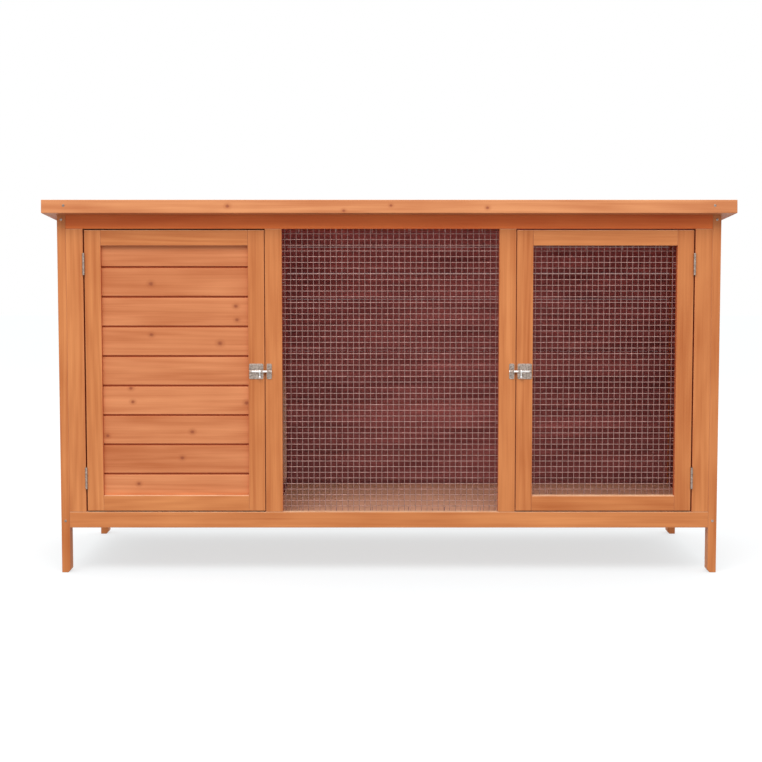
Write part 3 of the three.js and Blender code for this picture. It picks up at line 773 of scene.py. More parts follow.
def make_stained_fir(name):
    """Planed fir under a thin orange stain: warm, satin, with soft streaks and few knots."""
    finishes = bpy.context.scene.hutch_finishes
    tree, shader = start_material(name, {"Specular IOR Level": 0.3})
    colour, height = paint_grain(tree, finishes.fir_pale, finishes.fir_deep)
    colour = wear_highlight_and_soak(tree, colour, finishes)
    finish_wood(tree, shader, colour, height, rough=0.55, relief=0.0002)


def make_shaded_rail_fir(name):
    """Stained fir of the front top rail in a redder, darker copy: painted shade under the roof's
    overhang.
    """
    finishes = bpy.context.scene.hutch_finishes
    tree, shader = start_material(name, {"Specular IOR Level": 0.3})
    colour, height = paint_grain(tree, finishes.rail_pale, finishes.rail_deep)
    colour = soak_and_shade_joints(tree, colour, finishes)
    finish_wood(tree, shader, colour, height, rough=0.55, relief=0.0002)


def make_lit_edging_fir(name):
    """The stained fir in a slightly paler copy, painted light on the roof's front edging, with its
    small knots.
    """
    finishes = bpy.context.scene.hutch_finishes
    tree, shader = start_material(name, {"Specular IOR Level": 0.3})
    colour, height = paint_grain(tree, finishes.edging_pale, finishes.edging_deep)
    colour = paint_knots(tree, colour, nearest_placed_knot(tree, EDGING_KNOTS), finishes)
    colour = wear_highlight_and_soak(tree, colour, finishes)
    finish_wood(tree, shader, colour, height, rough=0.55, relief=0.0002)


def make_door_boards(name):
    """Stained fir boards of the nest's door, with one or two pin knots in each."""
    finishes = bpy.context.scene.hutch_finishes
    tree, shader = start_material(name, {"Specular IOR Level": 0.3})
    colour, height = paint_grain(tree, finishes.board_pale, finishes.board_deep)
    colour = paint_knots(tree, colour, nearest_placed_knot(tree, DOOR_KNOTS), finishes)
    colour = soak_and_shade_joints(tree, colour, finishes)
    finish_wood(tree, shader, colour, height, rough=0.58, relief=0.0002)


def make_wall_boards(name):
    """Stained fir boards of the side and back walls, with a knot every 300 mm or so."""
    finishes = bpy.context.scene.hutch_finishes
    tree, shader = start_material(name, {"Specular IOR Level": 0.3})
    colour, height = paint_grain(tree, finishes.board_pale, finishes.board_deep)
    colour = paint_knots(tree, colour, nearest_grown_knot(tree), finishes)
    colour = soak_and_shade_joints(tree, colour, finishes)
    finish_wood(tree, shader, colour, height, rough=0.58, relief=0.0002)


def make_shaded_inside_boards(name):
    """The inner faces of the boards: sawn and stained wine brown, darkened as painted shade of the
    hutch's inside, darker low down and lighter high up as painted shade and light.
    """
    finishes = bpy.context.scene.hutch_finishes
    tree, shader = start_material(name, {"Specular IOR Level": 0.2})
    colour, height = paint_grain(tree, finishes.inside_pale, finishes.inside_deep)
    place = add_node(tree, "ShaderNodeTexCoord", {}, {}).outputs["Object"]
    up = add_node(tree, "ShaderNodeSeparateXYZ", {}, {"Vector": place}).outputs["Z"]
    # Painted shade low down and painted light high up.
    painted_shade_by_height = add_node(tree, "ShaderNodeMapRange", {},
                    {"Value": up, "From Min": 0.1, "From Max": 0.6,
                     "To Min": 0.64, "To Max": 1.44})
    colour = add_node(tree, "ShaderNodeVectorMath", {"operation": "SCALE"},
                      {0: colour, "Scale": painted_shade_by_height}).outputs["Vector"]
    finish_wood(tree, shader, colour, height, rough=0.75, relief=0.0004)


def make_plywood(name):
    """Rotary-cut veneer: a broad, wavy figure with fine pores, bare, and darker towards the back
    as painted shade.
    """
    finishes = bpy.context.scene.hutch_finishes
    tree, shader = start_material(name, {"Roughness": 0.75, "Specular IOR Level": 0.25})
    place = add_node(tree, "ShaderNodeTexCoord", {}, {}).outputs["Object"]
    # Waves 45 mm wide and 330 mm long.
    long_waves = add_node(tree, "ShaderNodeMapping", {}, {"Vector": place, "Scale": (3, 22, 22)})
    figure = add_node(tree, "ShaderNodeTexNoise", {},
                      {"Vector": long_waves, "Scale": 1.0, "Detail": 5.0, "Roughness": 0.6,
                       "Distortion": 0.9})
    # Pores 0.6 mm wide and 12 mm long.
    long_pores = add_node(tree, "ShaderNodeMapping", {},
                          {"Vector": place, "Scale": (80, 1600, 1600)})
    pores = add_node(tree, "ShaderNodeTexNoise", {},
                     {"Vector": long_pores, "Scale": 1.0, "Detail": 1.0})
    veneer = add_node(tree, "ShaderNodeMapRange", {},
                      {"Value": figure, "From Min": 0.25, "From Max": 0.75,
                       "To Min": 0.84, "To Max": 1.08})
    speckled = add_node(tree, "ShaderNodeMapRange", {},
                        {"Value": pores, "From Min": 0.3, "From Max": 0.7,
                         "To Min": 0.9, "To Max": 1.06})
    rearward = add_node(tree, "ShaderNodeSeparateXYZ", {}, {"Vector": place}).outputs["Y"]
    # Painted shade: darker towards the back.
    painted_shade_at_back = add_node(tree, "ShaderNodeMapRange", {},
                    {"Value": rearward, "From Min": -0.2, "From Max": 0.2,
                     "To Min": 1.0, "To Max": 0.78})
    shade = add_node(tree, "ShaderNodeMath", {"operation": "MULTIPLY"},
                     {0: veneer, 1: speckled})
    shade = add_node(tree, "ShaderNodeMath", {"operation": "MULTIPLY"}, {0: shade, 1: painted_shade_at_back})
    colour = add_node(tree, "ShaderNodeVectorMath", {"operation": "SCALE"},
                      {0: tuple(finishes.plywood), "Scale": shade})
    tree.links.new(colour.outputs["Vector"], shader.inputs["Base Color"])
    bump = add_node(tree, "ShaderNodeBump", {},
                    {"Strength": 0.3, "Distance": 0.0002, "Height": pores})
    tree.links.new(bump.outputs["Normal"], shader.inputs["Normal"])


def make_felt(name):
    """Bitumen felt rolled in mineral grit: dark, matt and speckled."""
    finishes = bpy.context.scene.hutch_finishes
    tree, shader = start_material(name, {"Specular IOR Level": 0.2, "Roughness": 0.95})
    place = add_node(tree, "ShaderNodeTexCoord", {}, {}).outputs["Object"]
    # Grit is about 1 mm across. It is drawn at 1.6 mm so that it shows.
    grit = add_node(tree, "ShaderNodeTexVoronoi", {}, {"Vector": place, "Scale": 620.0})
    # Weathered patches 110 mm across.
    weather = add_node(tree, "ShaderNodeTexNoise", {},
                       {"Vector": place, "Scale": 9.0, "Detail": 4.0})
    grains = add_node(tree, "ShaderNodeSeparateColor", {}, {"Color": grit.outputs["Color"]})
    light = add_node(tree, "ShaderNodeMapRange", {},
                     {"Value": grains.outputs["Red"], "To Min": 0.45, "To Max": 1.75})
    patchy = add_node(tree, "ShaderNodeMapRange", {},
                      {"Value": weather, "From Min": 0.3, "From Max": 0.7,
                       "To Min": 0.8, "To Max": 1.2})
    shade = add_node(tree, "ShaderNodeMath", {"operation": "MULTIPLY"}, {0: light, 1: patchy})
    colour = add_node(tree, "ShaderNodeVectorMath", {"operation": "SCALE"},
                      {0: tuple(finishes.felt), "Scale": shade})
    tree.links.new(colour.outputs["Vector"], shader.inputs["Base Color"])
    bump = add_node(tree, "ShaderNodeBump", {},
                    {"Strength": 0.8, "Distance": 0.0006, "Height": grains.outputs["Red"]})
    tree.links.new(bump.outputs["Normal"], shader.inputs["Normal"])


def make_zinc_skin(name, colour, rough, spread, scale, tones=(1.05, 0.8)):
    """A zinc skin on steel, whose gloss and tone wander in patches."""
    tree, shader = start_material(name, {"Metallic": 1.0})
    place = add_node(tree, "ShaderNodeTexCoord", {}, {}).outputs["Object"]
    patches = add_node(tree, "ShaderNodeTexNoise", {},
                       {"Vector": place, "Scale": scale, "Detail": 3.0})
    gloss = add_node(tree, "ShaderNodeMapRange", {},
                     {"Value": patches, "From Min": 0.3, "From Max": 0.7,
                      "To Min": rough - spread, "To Max": rough + spread})
    tree.links.new(gloss.outputs["Result"], shader.inputs["Roughness"])
    shade = add_node(tree, "ShaderNodeMapRange", {},
                     {"Value": patches, "From Min": 0.3, "From Max": 0.7,
                      "To Min": tones[0], "To Max": tones[1]})
    tint = add_node(tree, "ShaderNodeVectorMath", {"operation": "SCALE"},
                    {0: tuple(colour), "Scale": shade.outputs["Result"]})
    tree.links.new(tint.outputs["Vector"], shader.inputs["Base Color"])


def make_galvanised_wire(name):
    """Hot-dip galvanised wire: zinc grey with a pink warmth that is a painted reflection of the
    stained wood, dull, with uneven runs every 6 mm.
    """
    finishes = bpy.context.scene.hutch_finishes
    make_zinc_skin(name, finishes.wire, rough=0.6, spread=0.1, scale=160.0)


def make_dull_zinc(name):
    """Passivated zinc on pressed parts and screws: grey, dull and mottled every 3 mm."""
    finishes = bpy.context.scene.hutch_finishes
    make_zinc_skin(name, finishes.dull_zinc, rough=0.42, spread=0.12, scale=340.0,
                   tones=(1.3, 0.6))


def make_zinc_plate(name):
    """Bright electroplated zinc on turned steel: silvery, its gloss wandering every 5 mm."""
    finishes = bpy.context.scene.hutch_finishes
    make_zinc_skin(name, finishes.zinc, rough=0.3, spread=0.08, scale=220.0)


FINISHES = {
    "Stained fir": make_stained_fir,
    "Stained fir of the top rail": make_shaded_rail_fir,
    "Stained fir of the edging": make_lit_edging_fir,
    "Stained fir boards of the door": make_door_boards,
    "Stained fir boards": make_wall_boards,
    "Dark stained boards, inside": make_shaded_inside_boards,
    "Plywood": make_plywood,
    "Mineral roofing felt": make_felt,
    "Galvanised steel wire": make_galvanised_wire,
    "Bright zinc plate": make_zinc_plate,
    "Dull zinc": make_dull_zinc,
}


def finished(name):
    """The material of that name, made the first time that a piece asks for it."""
    if name not in bpy.data.materials:
        FINISHES[name](name)
    return bpy.data.materials[name]


# ---- The operators, one for each group of pieces ---------------------------------------
class HUTCH_OT_stage(bpy.types.Operator):
    """Set the camera, the pale floor and the soft light of a white room"""

    bl_idname = "hutch.make_stage"
    bl_label = "Stage"

    def execute(self, context):
        stage = context.scene.hutch_stage
        select_only()
        bpy.ops.object.camera_add(
            location=stage.eye, rotation=(math.pi / 2 - stage.tilt, 0, 0))
        camera = bpy.context.object
        camera.data.lens = stage.lens
        context.scene.camera = camera
        self.lay_table(stage.table)
        self.hang_lamp(FRONT_LAMP, stage.lamp)
        self.hang_lamp(REAR_LAMP, stage.lamp * stage.rear_share)
        self.paint_room(context, stage)
        context.scene.view_settings.view_transform = "Standard"
        return {"FINISHED"}

    def lay_table(self, glow):
        """A pale table that is lit from below, so that the hutch throws only a thin shadow."""
        bpy.ops.mesh.primitive_plane_add(size=TABLE_SIZE)
        table = name_new("studio_table")
        start_material("Pale lit table", {
            "Base Color": TABLE_GREY, "Roughness": 0.9, "Specular IOR Level": 0.0,
            "Emission Color": TABLE_GLOW, "Emission Strength": glow})
        table.data.materials.append(bpy.data.materials["Pale lit table"])
        table.visible_diffuse = False

    def hang_lamp(self, place, power):
        bpy.ops.object.light_add(type="AREA", location=place)
        lamp = bpy.context.object
        lamp.data.shape = "RECTANGLE"
        lamp.data.size, lamp.data.size_y = LAMP_SIZE
        lamp.data.energy = power
        aim = LAMP_AIM - lamp.location
        lamp.rotation_euler = aim.to_track_quat("-Z", "Y").to_euler()

    def paint_room(self, context, stage):
        """A white room, brighter overhead than at the hutch's height."""
        world = bpy.data.worlds.new("White room")
        world.use_nodes = True
        tree = world.node_tree
        way = add_node(tree, "ShaderNodeTexCoord", {}, {}).outputs["Generated"]
        height = add_node(tree, "ShaderNodeSeparateXYZ", {}, {"Vector": way}).outputs["Z"]
        upper = add_node(tree, "ShaderNodeMapRange", {}, {
            "Value": height, "From Min": 0.0, "From Max": 1.0,
            "To Min": stage.walls, "To Max": stage.ceiling})
        lower = add_node(tree, "ShaderNodeMapRange", {}, {
            "Value": height, "From Min": -0.4, "From Max": 0.0,
            "To Min": stage.ground, "To Max": stage.walls})
        above = add_node(tree, "ShaderNodeMath", {"operation": "GREATER_THAN"},
                         {0: height, 1: 0.0})
        glow = add_node(tree, "ShaderNodeMix", {"data_type": "FLOAT"},
                        {"Factor": above, "A": lower, "B": upper})
        room = add_node(tree, "ShaderNodeBackground", {}, {"Strength": glow})
        backdrop = add_node(tree, "ShaderNodeBackground", {}, {"Strength": 1.0})
        for shader in (room, backdrop):
            shader.inputs["Color"].default_value = (1, 1, 1, 1)
        seen = add_node(tree, "ShaderNodeLightPath", {}, {}).outputs["Is Camera Ray"]
        both = add_node(tree, "ShaderNodeMixShader", {}, {0: seen, 1: room, 2: backdrop})
        output = tree.nodes["World Output"]
        tree.links.new(both.outputs["Shader"], output.inputs["Surface"])
        context.scene.world = world


class HUTCH_OT_frame(bpy.types.Operator):
    """Cut the legs, rails and stiles of the frame"""

    bl_idname = "hutch.make_frame"
    bl_label = "Legs and frame"

    def execute(self, context):
        for side, inward in (("left", 1), ("right", -1)):
            make_leg(side, "front", inward)
            make_leg(side, "rear", inward)
            make_side_top_rail(f"{side}_side_top_rail")
            node = f"{side}_side_bottom_rail"
            rail = block_of(node)
            finish_timber(rail, "y", "root", [node])
            stain_and_shade_inside(rail)
        make_grooved_rail("front_bottom_rail", 1)
        stain_and_shade_inside(make_grooved_rail("back_bottom_rail", -1))
        front_rail = block_of("front_top_rail")
        cut_under_roof(front_rail)
        finish_timber(front_rail, "x", "root", ["front_top_rail"],
                      "Stained fir of the top rail", FRONT)
        back_rail = block_of("back_top_rail")
        cut_under_roof(back_rail)
        finish_timber(back_rail, "x", "root", ["back_top_rail"])
        stain_and_shade_inside(back_rail)
        for node in ("front_left_stile", "front_right_stile", "left_mullion", "right_mullion"):
            finish_timber(block_of(node), "z", "root", [node], front=FRONT)
        return {"FINISHED"}


class HUTCH_OT_walls(bpy.types.Operator):
    """Board the side walls and the back wall"""

    bl_idname = "hutch.make_walls"
    bl_label = "Walls"

    def execute(self, context):
        sizes = context.scene.hutch_timber
        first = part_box("back_boards")[0].z + sizes.board_cover
        for side, turn in (("left", -90), ("right", 90)):
            node = f"{side}_side_boards"
            lay_boards(f"{side}_side", node, "y", turn, "root", first,
                       lambda board: cut_under_roof(board, sizes.top_rail + sizes.roof_fit))
        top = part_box("back_boards")[1]
        lay_boards("back", "back_boards", "x", 180, "root", first,
                   lambda board: cut(board, top, UP))
        return {"FINISHED"}


class HUTCH_OT_floor(bpy.types.Operator):
    """Cut the floor panel and the divider with the rabbit's doorway"""

    bl_idname = "hutch.make_floor"
    bl_label = "Floor and divider"

    def execute(self, context):
        arris = context.scene.hutch_timber.board_arris
        floor = new_block("floor_panel_ply", *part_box("floor_panel"))
        ease(floor, arris)
        hand_over(floor, "Plywood", "root", ["floor_panel"])
        divider = new_block("nest_divider_ply", *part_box("nest_divider"))
        cut_under_roof(divider, context.scene.hutch_timber.roof_fit)
        self.cut_doorway(divider, context.scene.hutch_openings)
        ease(divider, arris)
        lay_grain(divider, "y")
        hand_over(divider, "Plywood", "root", ["nest_divider"])
        for way in (Vector((1, 0, 0)), Vector((-1, 0, 0))):
            stain_and_shade_inside(divider, way)
        return {"FINISHED"}

    def cut_doorway(self, divider, doorway):
        low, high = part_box("nest_divider")
        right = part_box("back_boards")[0].y - doorway.from_back
        left = right - doorway.width
        sill = low.z + doorway.sill
        spring = sill + doorway.height - doorway.width / 2
        x0, x1 = low.x - doorway.sill, high.x + doorway.sill
        opening = new_block("doorway_opening", (x0, left, sill), (x1, right, spring))
        middle = (left + right) / 2
        arch = new_bar("doorway_arch", (x0, middle, spring), (x1, middle, spring),
                       doorway.width / 2, ARCH_SIDES)
        combine(opening, arch, "UNION")
        combine(divider, opening, "DIFFERENCE")


class HUTCH_OT_roof(bpy.types.Operator):
    """Lay the roof's deck and felt inside its four edgings"""

    bl_idname = "hutch.make_roof"
    bl_label = "Roof"

    def execute(self, context):
        self.pitch = self.roof_pitch()
        edgings = (("front", "x"), ("rear", "x"), ("left", "y"), ("right", "y"))
        for side, along in edgings:
            node = f"roof_{side}_edging"
            finish = "Stained fir of the edging" if side == "front" else "Stained fir"
            finish_timber(self.lying_block(node), along, "root", [node], finish)
        deck = self.lying_block("roof_deck")
        ease(deck, context.scene.hutch_timber.board_arris)
        lay_grain(deck, "x")
        hand_over(deck, "Plywood", "root", ["roof_deck"])
        stain_and_shade_inside(deck, -UP)
        felt = self.lying_block("roof_felt")
        ease(felt, context.scene.hutch_timber.board_arris)
        hand_over(felt, "Mineral roofing felt", "root", ["roof_felt"])
        return {"FINISHED"}

    def roof_pitch(self):
        """The turn that lays a level block to the roof's slope about its front edge."""
        normal = roof_line()[1]
        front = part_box("roof_front_edging")
        pivot = Matrix.Translation(Vector((0, front[0].y, front[1].z)))
        slope = Matrix.Rotation(-math.atan2(normal.y, normal.z), 4, "X")
        return pivot @ slope @ pivot.inverted()

    def lying_block(self, node):
        """A block with a tilted CAD node's size, made level and then laid to the slope."""
        level = self.pitch.inverted()
        places = [level @ vertex.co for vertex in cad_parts[node].data.vertices]
        low = [min(place[axis] for place in places) for axis in range(3)]
        high = [max(place[axis] for place in places) for axis in range(3)]
        block = new_block(node + "_piece", low, high)
        block.matrix_world = self.pitch
        return settle(block)


class HUTCH_OT_doors(bpy.types.Operator):
    """Cut the doors' timbers and board the left door"""

    bl_idname = "hutch.make_doors"
    bl_label = "Doors"

    def execute(self, context):
        sizes = context.scene.hutch_timber
        for door in ("left_door", "right_door"):
            for part, along in (("hinge_stile", "z"), ("latch_stile", "z"),
                                ("top_rail", "x"), ("bottom_rail", "x")):
                node = f"{door}_{part}"
                timber = block_of(node)
                if node == "right_door_bottom_rail":
                    round_sill(timber)
                finish_timber(timber, along, door, [node], front=FRONT)
        low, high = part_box("left_door_boards")
        lay_boards("left_door", "left_door_boards", "x", 0, "left_door",
                   low.z + sizes.first_door_board, lambda board: cut(board, high, UP))
        return {"FINISHED"}


class HUTCH_OT_mesh(bpy.types.Operator):
    """Weld the mesh of the window and the right door and staple it down"""

    bl_idname = "hutch.make_mesh"
    bl_label = "Welded mesh"

    def execute(self, context):
        self.sizes = context.scene.hutch_wires
        for panel, body in (("window_mesh", "root"), ("right_door_mesh", "right_door")):
            self.weave(f"{panel}_cross_wires", "x", body)
            self.weave(f"{panel}_upright_wires", "z", body)
            self.staple_down(panel, body)
        return {"FINISHED"}

    def weave(self, node, along, body):
        """One wire, repeated at the pitch across its panel."""
        low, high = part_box(node)
        step = 2 if along == "x" else 0
        run = 0 if along == "x" else 2
        radius = self.sizes.wire / 2 * ZINC_RUNS
        start = (low + high) / 2
        start[step] = low[step] + self.sizes.wire / 2
        end = start.copy()
        start[run] = low[run]
        end[run] = high[run]
        wires = new_bar(node + "_welded", start, end, radius, WIRE_SIDES)
        count = round((high[step] - low[step] - self.sizes.wire) / self.sizes.pitch) + 1
        offset = [0, 0, 0]
        offset[step] = self.sizes.pitch
        apply_modifier(wires, "ARRAY", {
            "count": count, "use_relative_offset": False, "use_constant_offset": True,
            "constant_offset_displace": offset})
        smooth(wires)
        hand_over(wires, "Galvanised steel wire", body, [node])

    def staple_down(self, panel, body):
        """Staples over the mesh's edge, along all four sides of its back."""
        low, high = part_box(f"{panel}_cross_wires")
        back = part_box(f"{panel}_upright_wires")[1].y
        source = self.new_staple(back)
        inset = self.sizes.wire * 3
        across = self.spread(low.x + inset, high.x - inset)
        up = self.spread(low.z + inset, high.z - inset)
        places = [(x, z, 90) for x in across for z in (low.z + inset, high.z - inset)]
        places += [(x, z, 0) for z in up for x in (low.x + inset, high.x - inset)]
        staples = []
        for x, z, turn in places:
            staple = copy_to(source, panel + "_staple", (0, 0, 0))
            staple.rotation_euler.y = math.radians(turn)
            staple.location = (x, 0, z)
            staples.append(settle(staple))
        bpy.data.objects.remove(source)
        select_only(*staples)
        bpy.ops.object.join()
        joined = name_new(panel + "_staples")
        hand_over(joined, "Galvanised steel wire", body)

    def spread(self, start, end):
        """Places a little in from both ends, at about the staples' spacing."""
        gaps = round((end - start) / self.sizes.staple_every)
        return [start + (end - start) * (i + 0.5) / gaps for i in range(gaps)]

    def new_staple(self, back):
        """A staple lying across, its crown behind the mesh and its legs through it."""
        half = self.sizes.staple / 2
        wire = self.sizes.wire
        high = wire * 0.6
        crown = wire * 0.8
        leg = wire * 2.5
        staple = new_block("staple", (-half, back, -high), (half, back + crown, high))
        for side in (-1, 1):
            cut(staple, (side * (half - wire), 0, 0), (1, 0, 0), drop=False)
        choose(staple, "FACE", lambda face: face.normal.y < -FACING
               and abs(face.calc_center_median().x) > half - wire)
        pull((0, -leg, 0))
        close_edit()
        ease(staple, wire * STAPLE_EDGE)
        return staple


class HUTCH_OT_hinges(bpy.types.Operator):
    """Roll the butt hinges, each with a frame leaf, a door leaf and a pin"""

    bl_idname = "hutch.make_hinges"
    bl_label = "Hinges"

    def execute(self, context):
        self.sizes = context.scene.hutch_metal
        first = "left_upper_hinge"
        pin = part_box(first + "_pin")
        self.axis = (pin[0] + pin[1]) / 2
        self.half = (pin[1].z - pin[0].z) / 2
        third = self.half / 3
        gap = self.sizes.knuckle_gap
        ends = [(-self.half, -third - gap), (third + gap, self.half)]
        parts = {
            "frame_leaf": self.new_leaf(-1, ends),
            "door_leaf": self.new_leaf(1, [(-third, third)]),
            "pin": self.new_pin()}
        for door, mirror in (("left", False), ("right", True)):
            for level in ("upper", "lower"):
                self.hang(parts, door, level, mirror)
        for part in parts.values():
            bpy.data.objects.remove(part)
        return {"FINISHED"}

    def new_leaf(self, side, knuckles):
        """A leaf about an axis at the origin, on the side of X given."""
        sizes = self.sizes
        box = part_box("left_upper_hinge_frame_leaf")
        reach = box[1].y - self.axis.y
        clear = sizes.barrel + sizes.play
        x = sorted((side * sizes.leaf_face, side * (sizes.leaf_face - sizes.leaf)))
        leaf = new_block("leaf", (x[0], clear, -self.half), (x[1], reach, self.half))
        ease(leaf, sizes.leaf * LEAF_EDGE)
        for low, high in knuckles:
            barrel = new_bar("knuckle", (0, 0, low), (0, 0, high), sizes.barrel, ROD_SIDES)
            ease(barrel, sizes.leaf * KNUCKLE_EDGE)
            combine(leaf, barrel, "UNION")
            neck = new_block("neck", (x[0], 0, low), (x[1], clear + sizes.leaf, high))
            combine(leaf, neck, "UNION")
        bore = new_bar("bore", (0, 0, -2 * self.half), (0, 0, 2 * self.half),
                       sizes.pin + sizes.play, PIN_SIDES)
        combine(leaf, bore, "DIFFERENCE")
        smooth(leaf)
        return leaf

    def new_pin(self):
        """A pin with a rounded-over end at the top and the bottom."""
        radius = self.sizes.pin
        pin = new_bar("pin", (0, 0, -self.half), (0, 0, self.half), radius, PIN_SIDES)
        ease(pin, radius * PIN_END, 3)
        smooth(pin)
        return pin

    def hang(self, parts, door, level, mirror):
        name = f"{door}_{level}_hinge"
        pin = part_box(name + "_pin")
        middle = (pin[0] + pin[1]) / 2
        for part, source in parts.items():
            piece = copy_to(source, f"{name}_{part}_plate", middle, mirror)
            body = f"{door}_door" if part == "door_leaf" else "root"
            hand_over(piece, "Dull zinc", body, [f"{name}_{part}"])


class HUTCH_OT_bolts(bpy.types.Operator):
    """Press the barrel bolts' plates and keepers and fit their rods and knobs"""

    bl_idname = "hutch.make_bolts"
    bl_label = "Bolts"

    def execute(self, context):
        self.sizes = context.scene.hutch_metal
        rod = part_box("left_bolt_rod")
        self.axis = (rod[0] + rod[1]) / 2
        parts = {
            "plate": ("left_door", self.new_plate("left_bolt_plate", 2, self.sizes.play)),
            "keeper": ("root", self.new_plate("left_bolt_keeper", 1, self.sizes.keeper_play)),
            "rod": ("left_bolt", self.new_rod()),
            "knob": ("left_knob", self.new_knob())}
        for part, (body, piece) in parts.items():
            node = f"right_bolt_{part}"
            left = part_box(f"left_bolt_{part}")
            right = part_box(node)
            shift = Vector((right[1].x + left[0].x, 0, 0))
            twin = copy_to(piece, node + "_metal", shift, mirror=True)
            twin_body = body.replace("left", "right")
            finish = "Dull zinc" if part in ("plate", "keeper") else "Bright zinc plate"
            hand_over(twin, finish, twin_body, [node])
            hand_over(piece, finish, body, [f"left_bolt_{part}"])
        return {"FINISHED"}

    def new_plate(self, node, loops, play):
        """A pressed plate with rounded corners and the loops that the rod runs through."""
        sizes = self.sizes
        low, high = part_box(node)
        face = high.y - sizes.leaf
        plate = new_block(node + "_metal", (low.x, face, low.z), high)
        choose(plate, "EDGE", lambda edge: abs(edge.verts[0].co.y - edge.verts[1].co.y)
               > SAME_PLACE)
        bpy.ops.mesh.bevel(offset=sizes.leaf * 2, segments=4, affect="EDGES")
        close_edit()
        ease(plate, sizes.leaf * PLATE_EDGE)
        outer = sizes.rod + sizes.loop_wall
        inset = sizes.leaf
        width = sizes.loop_width if loops == 2 else high.x - low.x - 2 * inset
        for start in [low.x + inset, high.x - inset - width][:loops]:
            end = start + width
            arch = new_bar("loop", (start, self.axis.y, self.axis.z),
                           (end, self.axis.y, self.axis.z), outer, ROD_SIDES)
            ease(arch, sizes.leaf * LOOP_EDGE)
            combine(plate, arch, "UNION")
            feet = new_block("feet", (start, self.axis.y, self.axis.z - outer),
                             (end, face + sizes.leaf / 2, self.axis.z + outer))
            combine(plate, feet, "UNION")
        bore = new_bar("bore", (low.x - inset, self.axis.y, self.axis.z),
                       (high.x + inset, self.axis.y, self.axis.z), sizes.rod + play, ROD_SIDES)
        combine(plate, bore, "DIFFERENCE")
        smooth(plate)
        return plate

    def new_rod(self):
        low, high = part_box("left_bolt_rod")
        rod = new_bar("left_bolt_rod_metal", (low.x, self.axis.y, self.axis.z),
                      (high.x, self.axis.y, self.axis.z), self.sizes.rod, ROD_SIDES)
        ease(rod, self.sizes.rod * ROD_END, 3)
        smooth(rod)
        return rod

    def new_knob(self):
        """A collar on the rod, a thin neck and a ball to pull."""
        sizes = self.sizes
        low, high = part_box("left_bolt_knob")
        x = (low.x + high.x) / 2
        ball_radius = (high.x - low.x) / 2
        outer = sizes.rod + sizes.loop_wall
        half = sizes.collar / 2
        knob = new_bar("left_bolt_knob_metal", (x - half, self.axis.y, self.axis.z),
                       (x + half, self.axis.y, self.axis.z), outer, ROD_SIDES)
        ease(knob, sizes.leaf * LOOP_EDGE)
        neck = new_bar("neck", (x, self.axis.y, self.axis.z),
                       (x, self.axis.y, low.z + ball_radius), sizes.neck, PIN_SIDES)
        combine(knob, neck, "UNION")
        select_only()
        bpy.ops.mesh.primitive_uv_sphere_add(
            segments=ROD_SIDES, ring_count=ROD_SIDES // 2, radius=ball_radius,
            location=(x, self.axis.y, low.z + ball_radius))
        combine(knob, name_new("ball"), "UNION")
        bore = new_bar("bore", (x - outer, self.axis.y, self.axis.z),
                       (x + outer, self.axis.y, self.axis.z), sizes.rod + sizes.play, ROD_SIDES)
        combine(knob, bore, "DIFFERENCE")
        smooth(knob)
        return knob


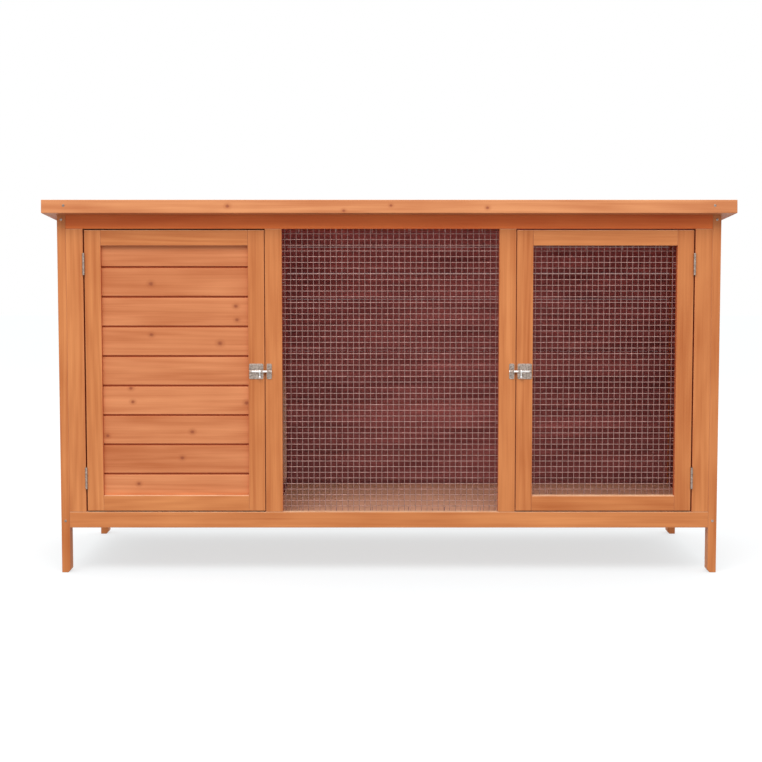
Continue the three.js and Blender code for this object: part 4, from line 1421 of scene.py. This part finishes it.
class HUTCH_OT_screws(bpy.types.Operator):
    """Drive the screws of the frame, the hinges and the bolts"""

    bl_idname = "hutch.make_screws"
    bl_label = "Screws"

    def execute(self, context):
        self.sizes = context.scene.hutch_metal
        self.big = self.new_screw(self.sizes.screw)
        self.small = self.new_screw(self.sizes.small_screw)
        self.screw_frame()
        self.screw_bolts()
        self.screw_hinges()
        bpy.data.objects.remove(self.big)
        bpy.data.objects.remove(self.small)
        return {"FINISHED"}

    def new_screw(self, radius):
        """A domed head with a cross recess, its axis along Y and its face to the front."""
        thick = radius * 0.32
        dome = radius * 0.3
        head = new_bar("screw_head", (0, -thick, 0), (0, thick, 0), radius, SCREW_SIDES)
        choose(head, "EDGE", lambda edge: all(vertex.co.y < 0 for vertex in edge.verts))
        bpy.ops.mesh.bevel(offset=dome, segments=3, affect="EDGES")
        close_edit()
        slot = radius * 0.14
        reach = radius * 0.6
        bed = -thick * 0.2
        for turn in (0, 90):
            arm = new_block("arm", (-reach, -radius, -slot), (reach, bed, slot))
            arm.rotation_euler.y = math.radians(turn)
            combine(head, settle(arm), "DIFFERENCE")
        smooth(head)
        return head

    def drive(self, source, name, place, body, turn_z=0.0):
        """Puts a copy of a screw in place, turned about the vertical and a little at random."""
        screw = copy_to(source, name, (0, 0, 0))
        screw.rotation_euler = (0, random.Random(name).uniform(0, math.pi / 2), 0)
        settle(screw)
        screw.rotation_euler = (0, 0, turn_z)
        screw.location = place
        settle(screw)
        hand_over(screw, "Dull zinc", body)

    def screw_frame(self):
        """Two screws in each front leg, and one near each end of the roof's front edging."""
        sizes = self.sizes
        foot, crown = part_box("roof_front_edging")
        for side, sign in (("left", -1), ("right", 1)):
            low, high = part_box(f"{side}_front_leg")
            x = (low.x + high.x) / 2
            for level, z in (("upper", sizes.upper_screw), ("lower", sizes.lower_screw)):
                self.drive(self.big, f"{side}_leg_{level}_screw", (x, low.y, z), "root")
            place = (sign * (crown.x - sizes.edging_screw), foot.y + sizes.leaf,
                     foot.z + sizes.edging_rise)
            self.drive(self.big, f"{side}_edging_screw", place, "root")

    def screw_bolts(self):
        """Four screws in each bolt's plate and two in its keeper."""
        for side in ("left", "right"):
            for part, body in (("plate", f"{side}_door"), ("keeper", "root")):
                low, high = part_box(f"{side}_bolt_{part}")
                face = high.y - self.sizes.leaf
                middle = (low.x + high.x) / 2
                edge = self.sizes.screw_inset
                columns = (low.x + edge, high.x - edge) if part == "plate" else (middle,)
                rows = (low.z + edge, high.z - edge)
                places = [(x, face, z) for x in columns for z in rows]
                for number, place in enumerate(places, 1):
                    self.drive(self.small, f"{side}_bolt_{part}_screw_{number}", place, body)

    def screw_hinges(self):
        """Two screws in each hinge leaf, which face across the gap at the door's edge."""
        sizes = self.sizes
        for side, sign in (("left", 1), ("right", -1)):
            for level in ("upper", "lower"):
                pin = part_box(f"{side}_{level}_hinge_pin")
                axis = (pin[0] + pin[1]) / 2
                for part, way, body in (("frame", -sign, "root"), ("door", sign, f"{side}_door")):
                    x = axis.x + way * sizes.head_stand
                    for number, rise in ((1, -sizes.hinge_reach), (2, sizes.hinge_reach)):
                        self.drive(self.small, f"{side}_{level}_hinge_{part}_screw_{number}",
                                   (x, axis.y + sizes.hinge_screw, axis.z + rise), body,
                                   math.radians(90 * way))


STEPS = (HUTCH_OT_stage, HUTCH_OT_frame, HUTCH_OT_walls, HUTCH_OT_floor, HUTCH_OT_roof,
         HUTCH_OT_doors, HUTCH_OT_mesh, HUTCH_OT_hinges, HUTCH_OT_bolts, HUTCH_OT_screws)


class HUTCH_PT_panel(bpy.types.Panel):
    """Lists the steps that build the hutch"""

    bl_idname = "HUTCH_PT_panel"
    bl_label = "Rabbit hutch"
    bl_space_type = "VIEW_3D"
    bl_region_type = "UI"
    bl_category = "Rabbit hutch"

    def draw(self, context):
        for step in STEPS:
            self.layout.operator(step.bl_idname)


SETTINGS = {
    "hutch_stage": HutchStageSettings,
    "hutch_timber": HutchTimberSettings,
    "hutch_openings": HutchOpeningSettings,
    "hutch_wires": HutchWireSettings,
    "hutch_metal": HutchMetalSettings,
    "hutch_finishes": HutchFinishSettings,
}


def register():
    for name, group in SETTINGS.items():
        bpy.utils.register_class(group)
        setattr(bpy.types.Scene, name, bpy.props.PointerProperty(type=group))
    for step in STEPS:
        bpy.utils.register_class(step)
    bpy.utils.register_class(HUTCH_PT_panel)


def unregister():
    bpy.utils.unregister_class(HUTCH_PT_panel)
    for step in reversed(STEPS):
        bpy.utils.unregister_class(step)
    for name, group in SETTINGS.items():
        delattr(bpy.types.Scene, name)
        bpy.utils.unregister_class(group)


def main():
    """Builds the whole hutch in order."""
    register()
    for step in STEPS:
        group, action = step.bl_idname.split(".")
        getattr(getattr(bpy.ops, group), action)()


if __name__ == "__main__":
    main()
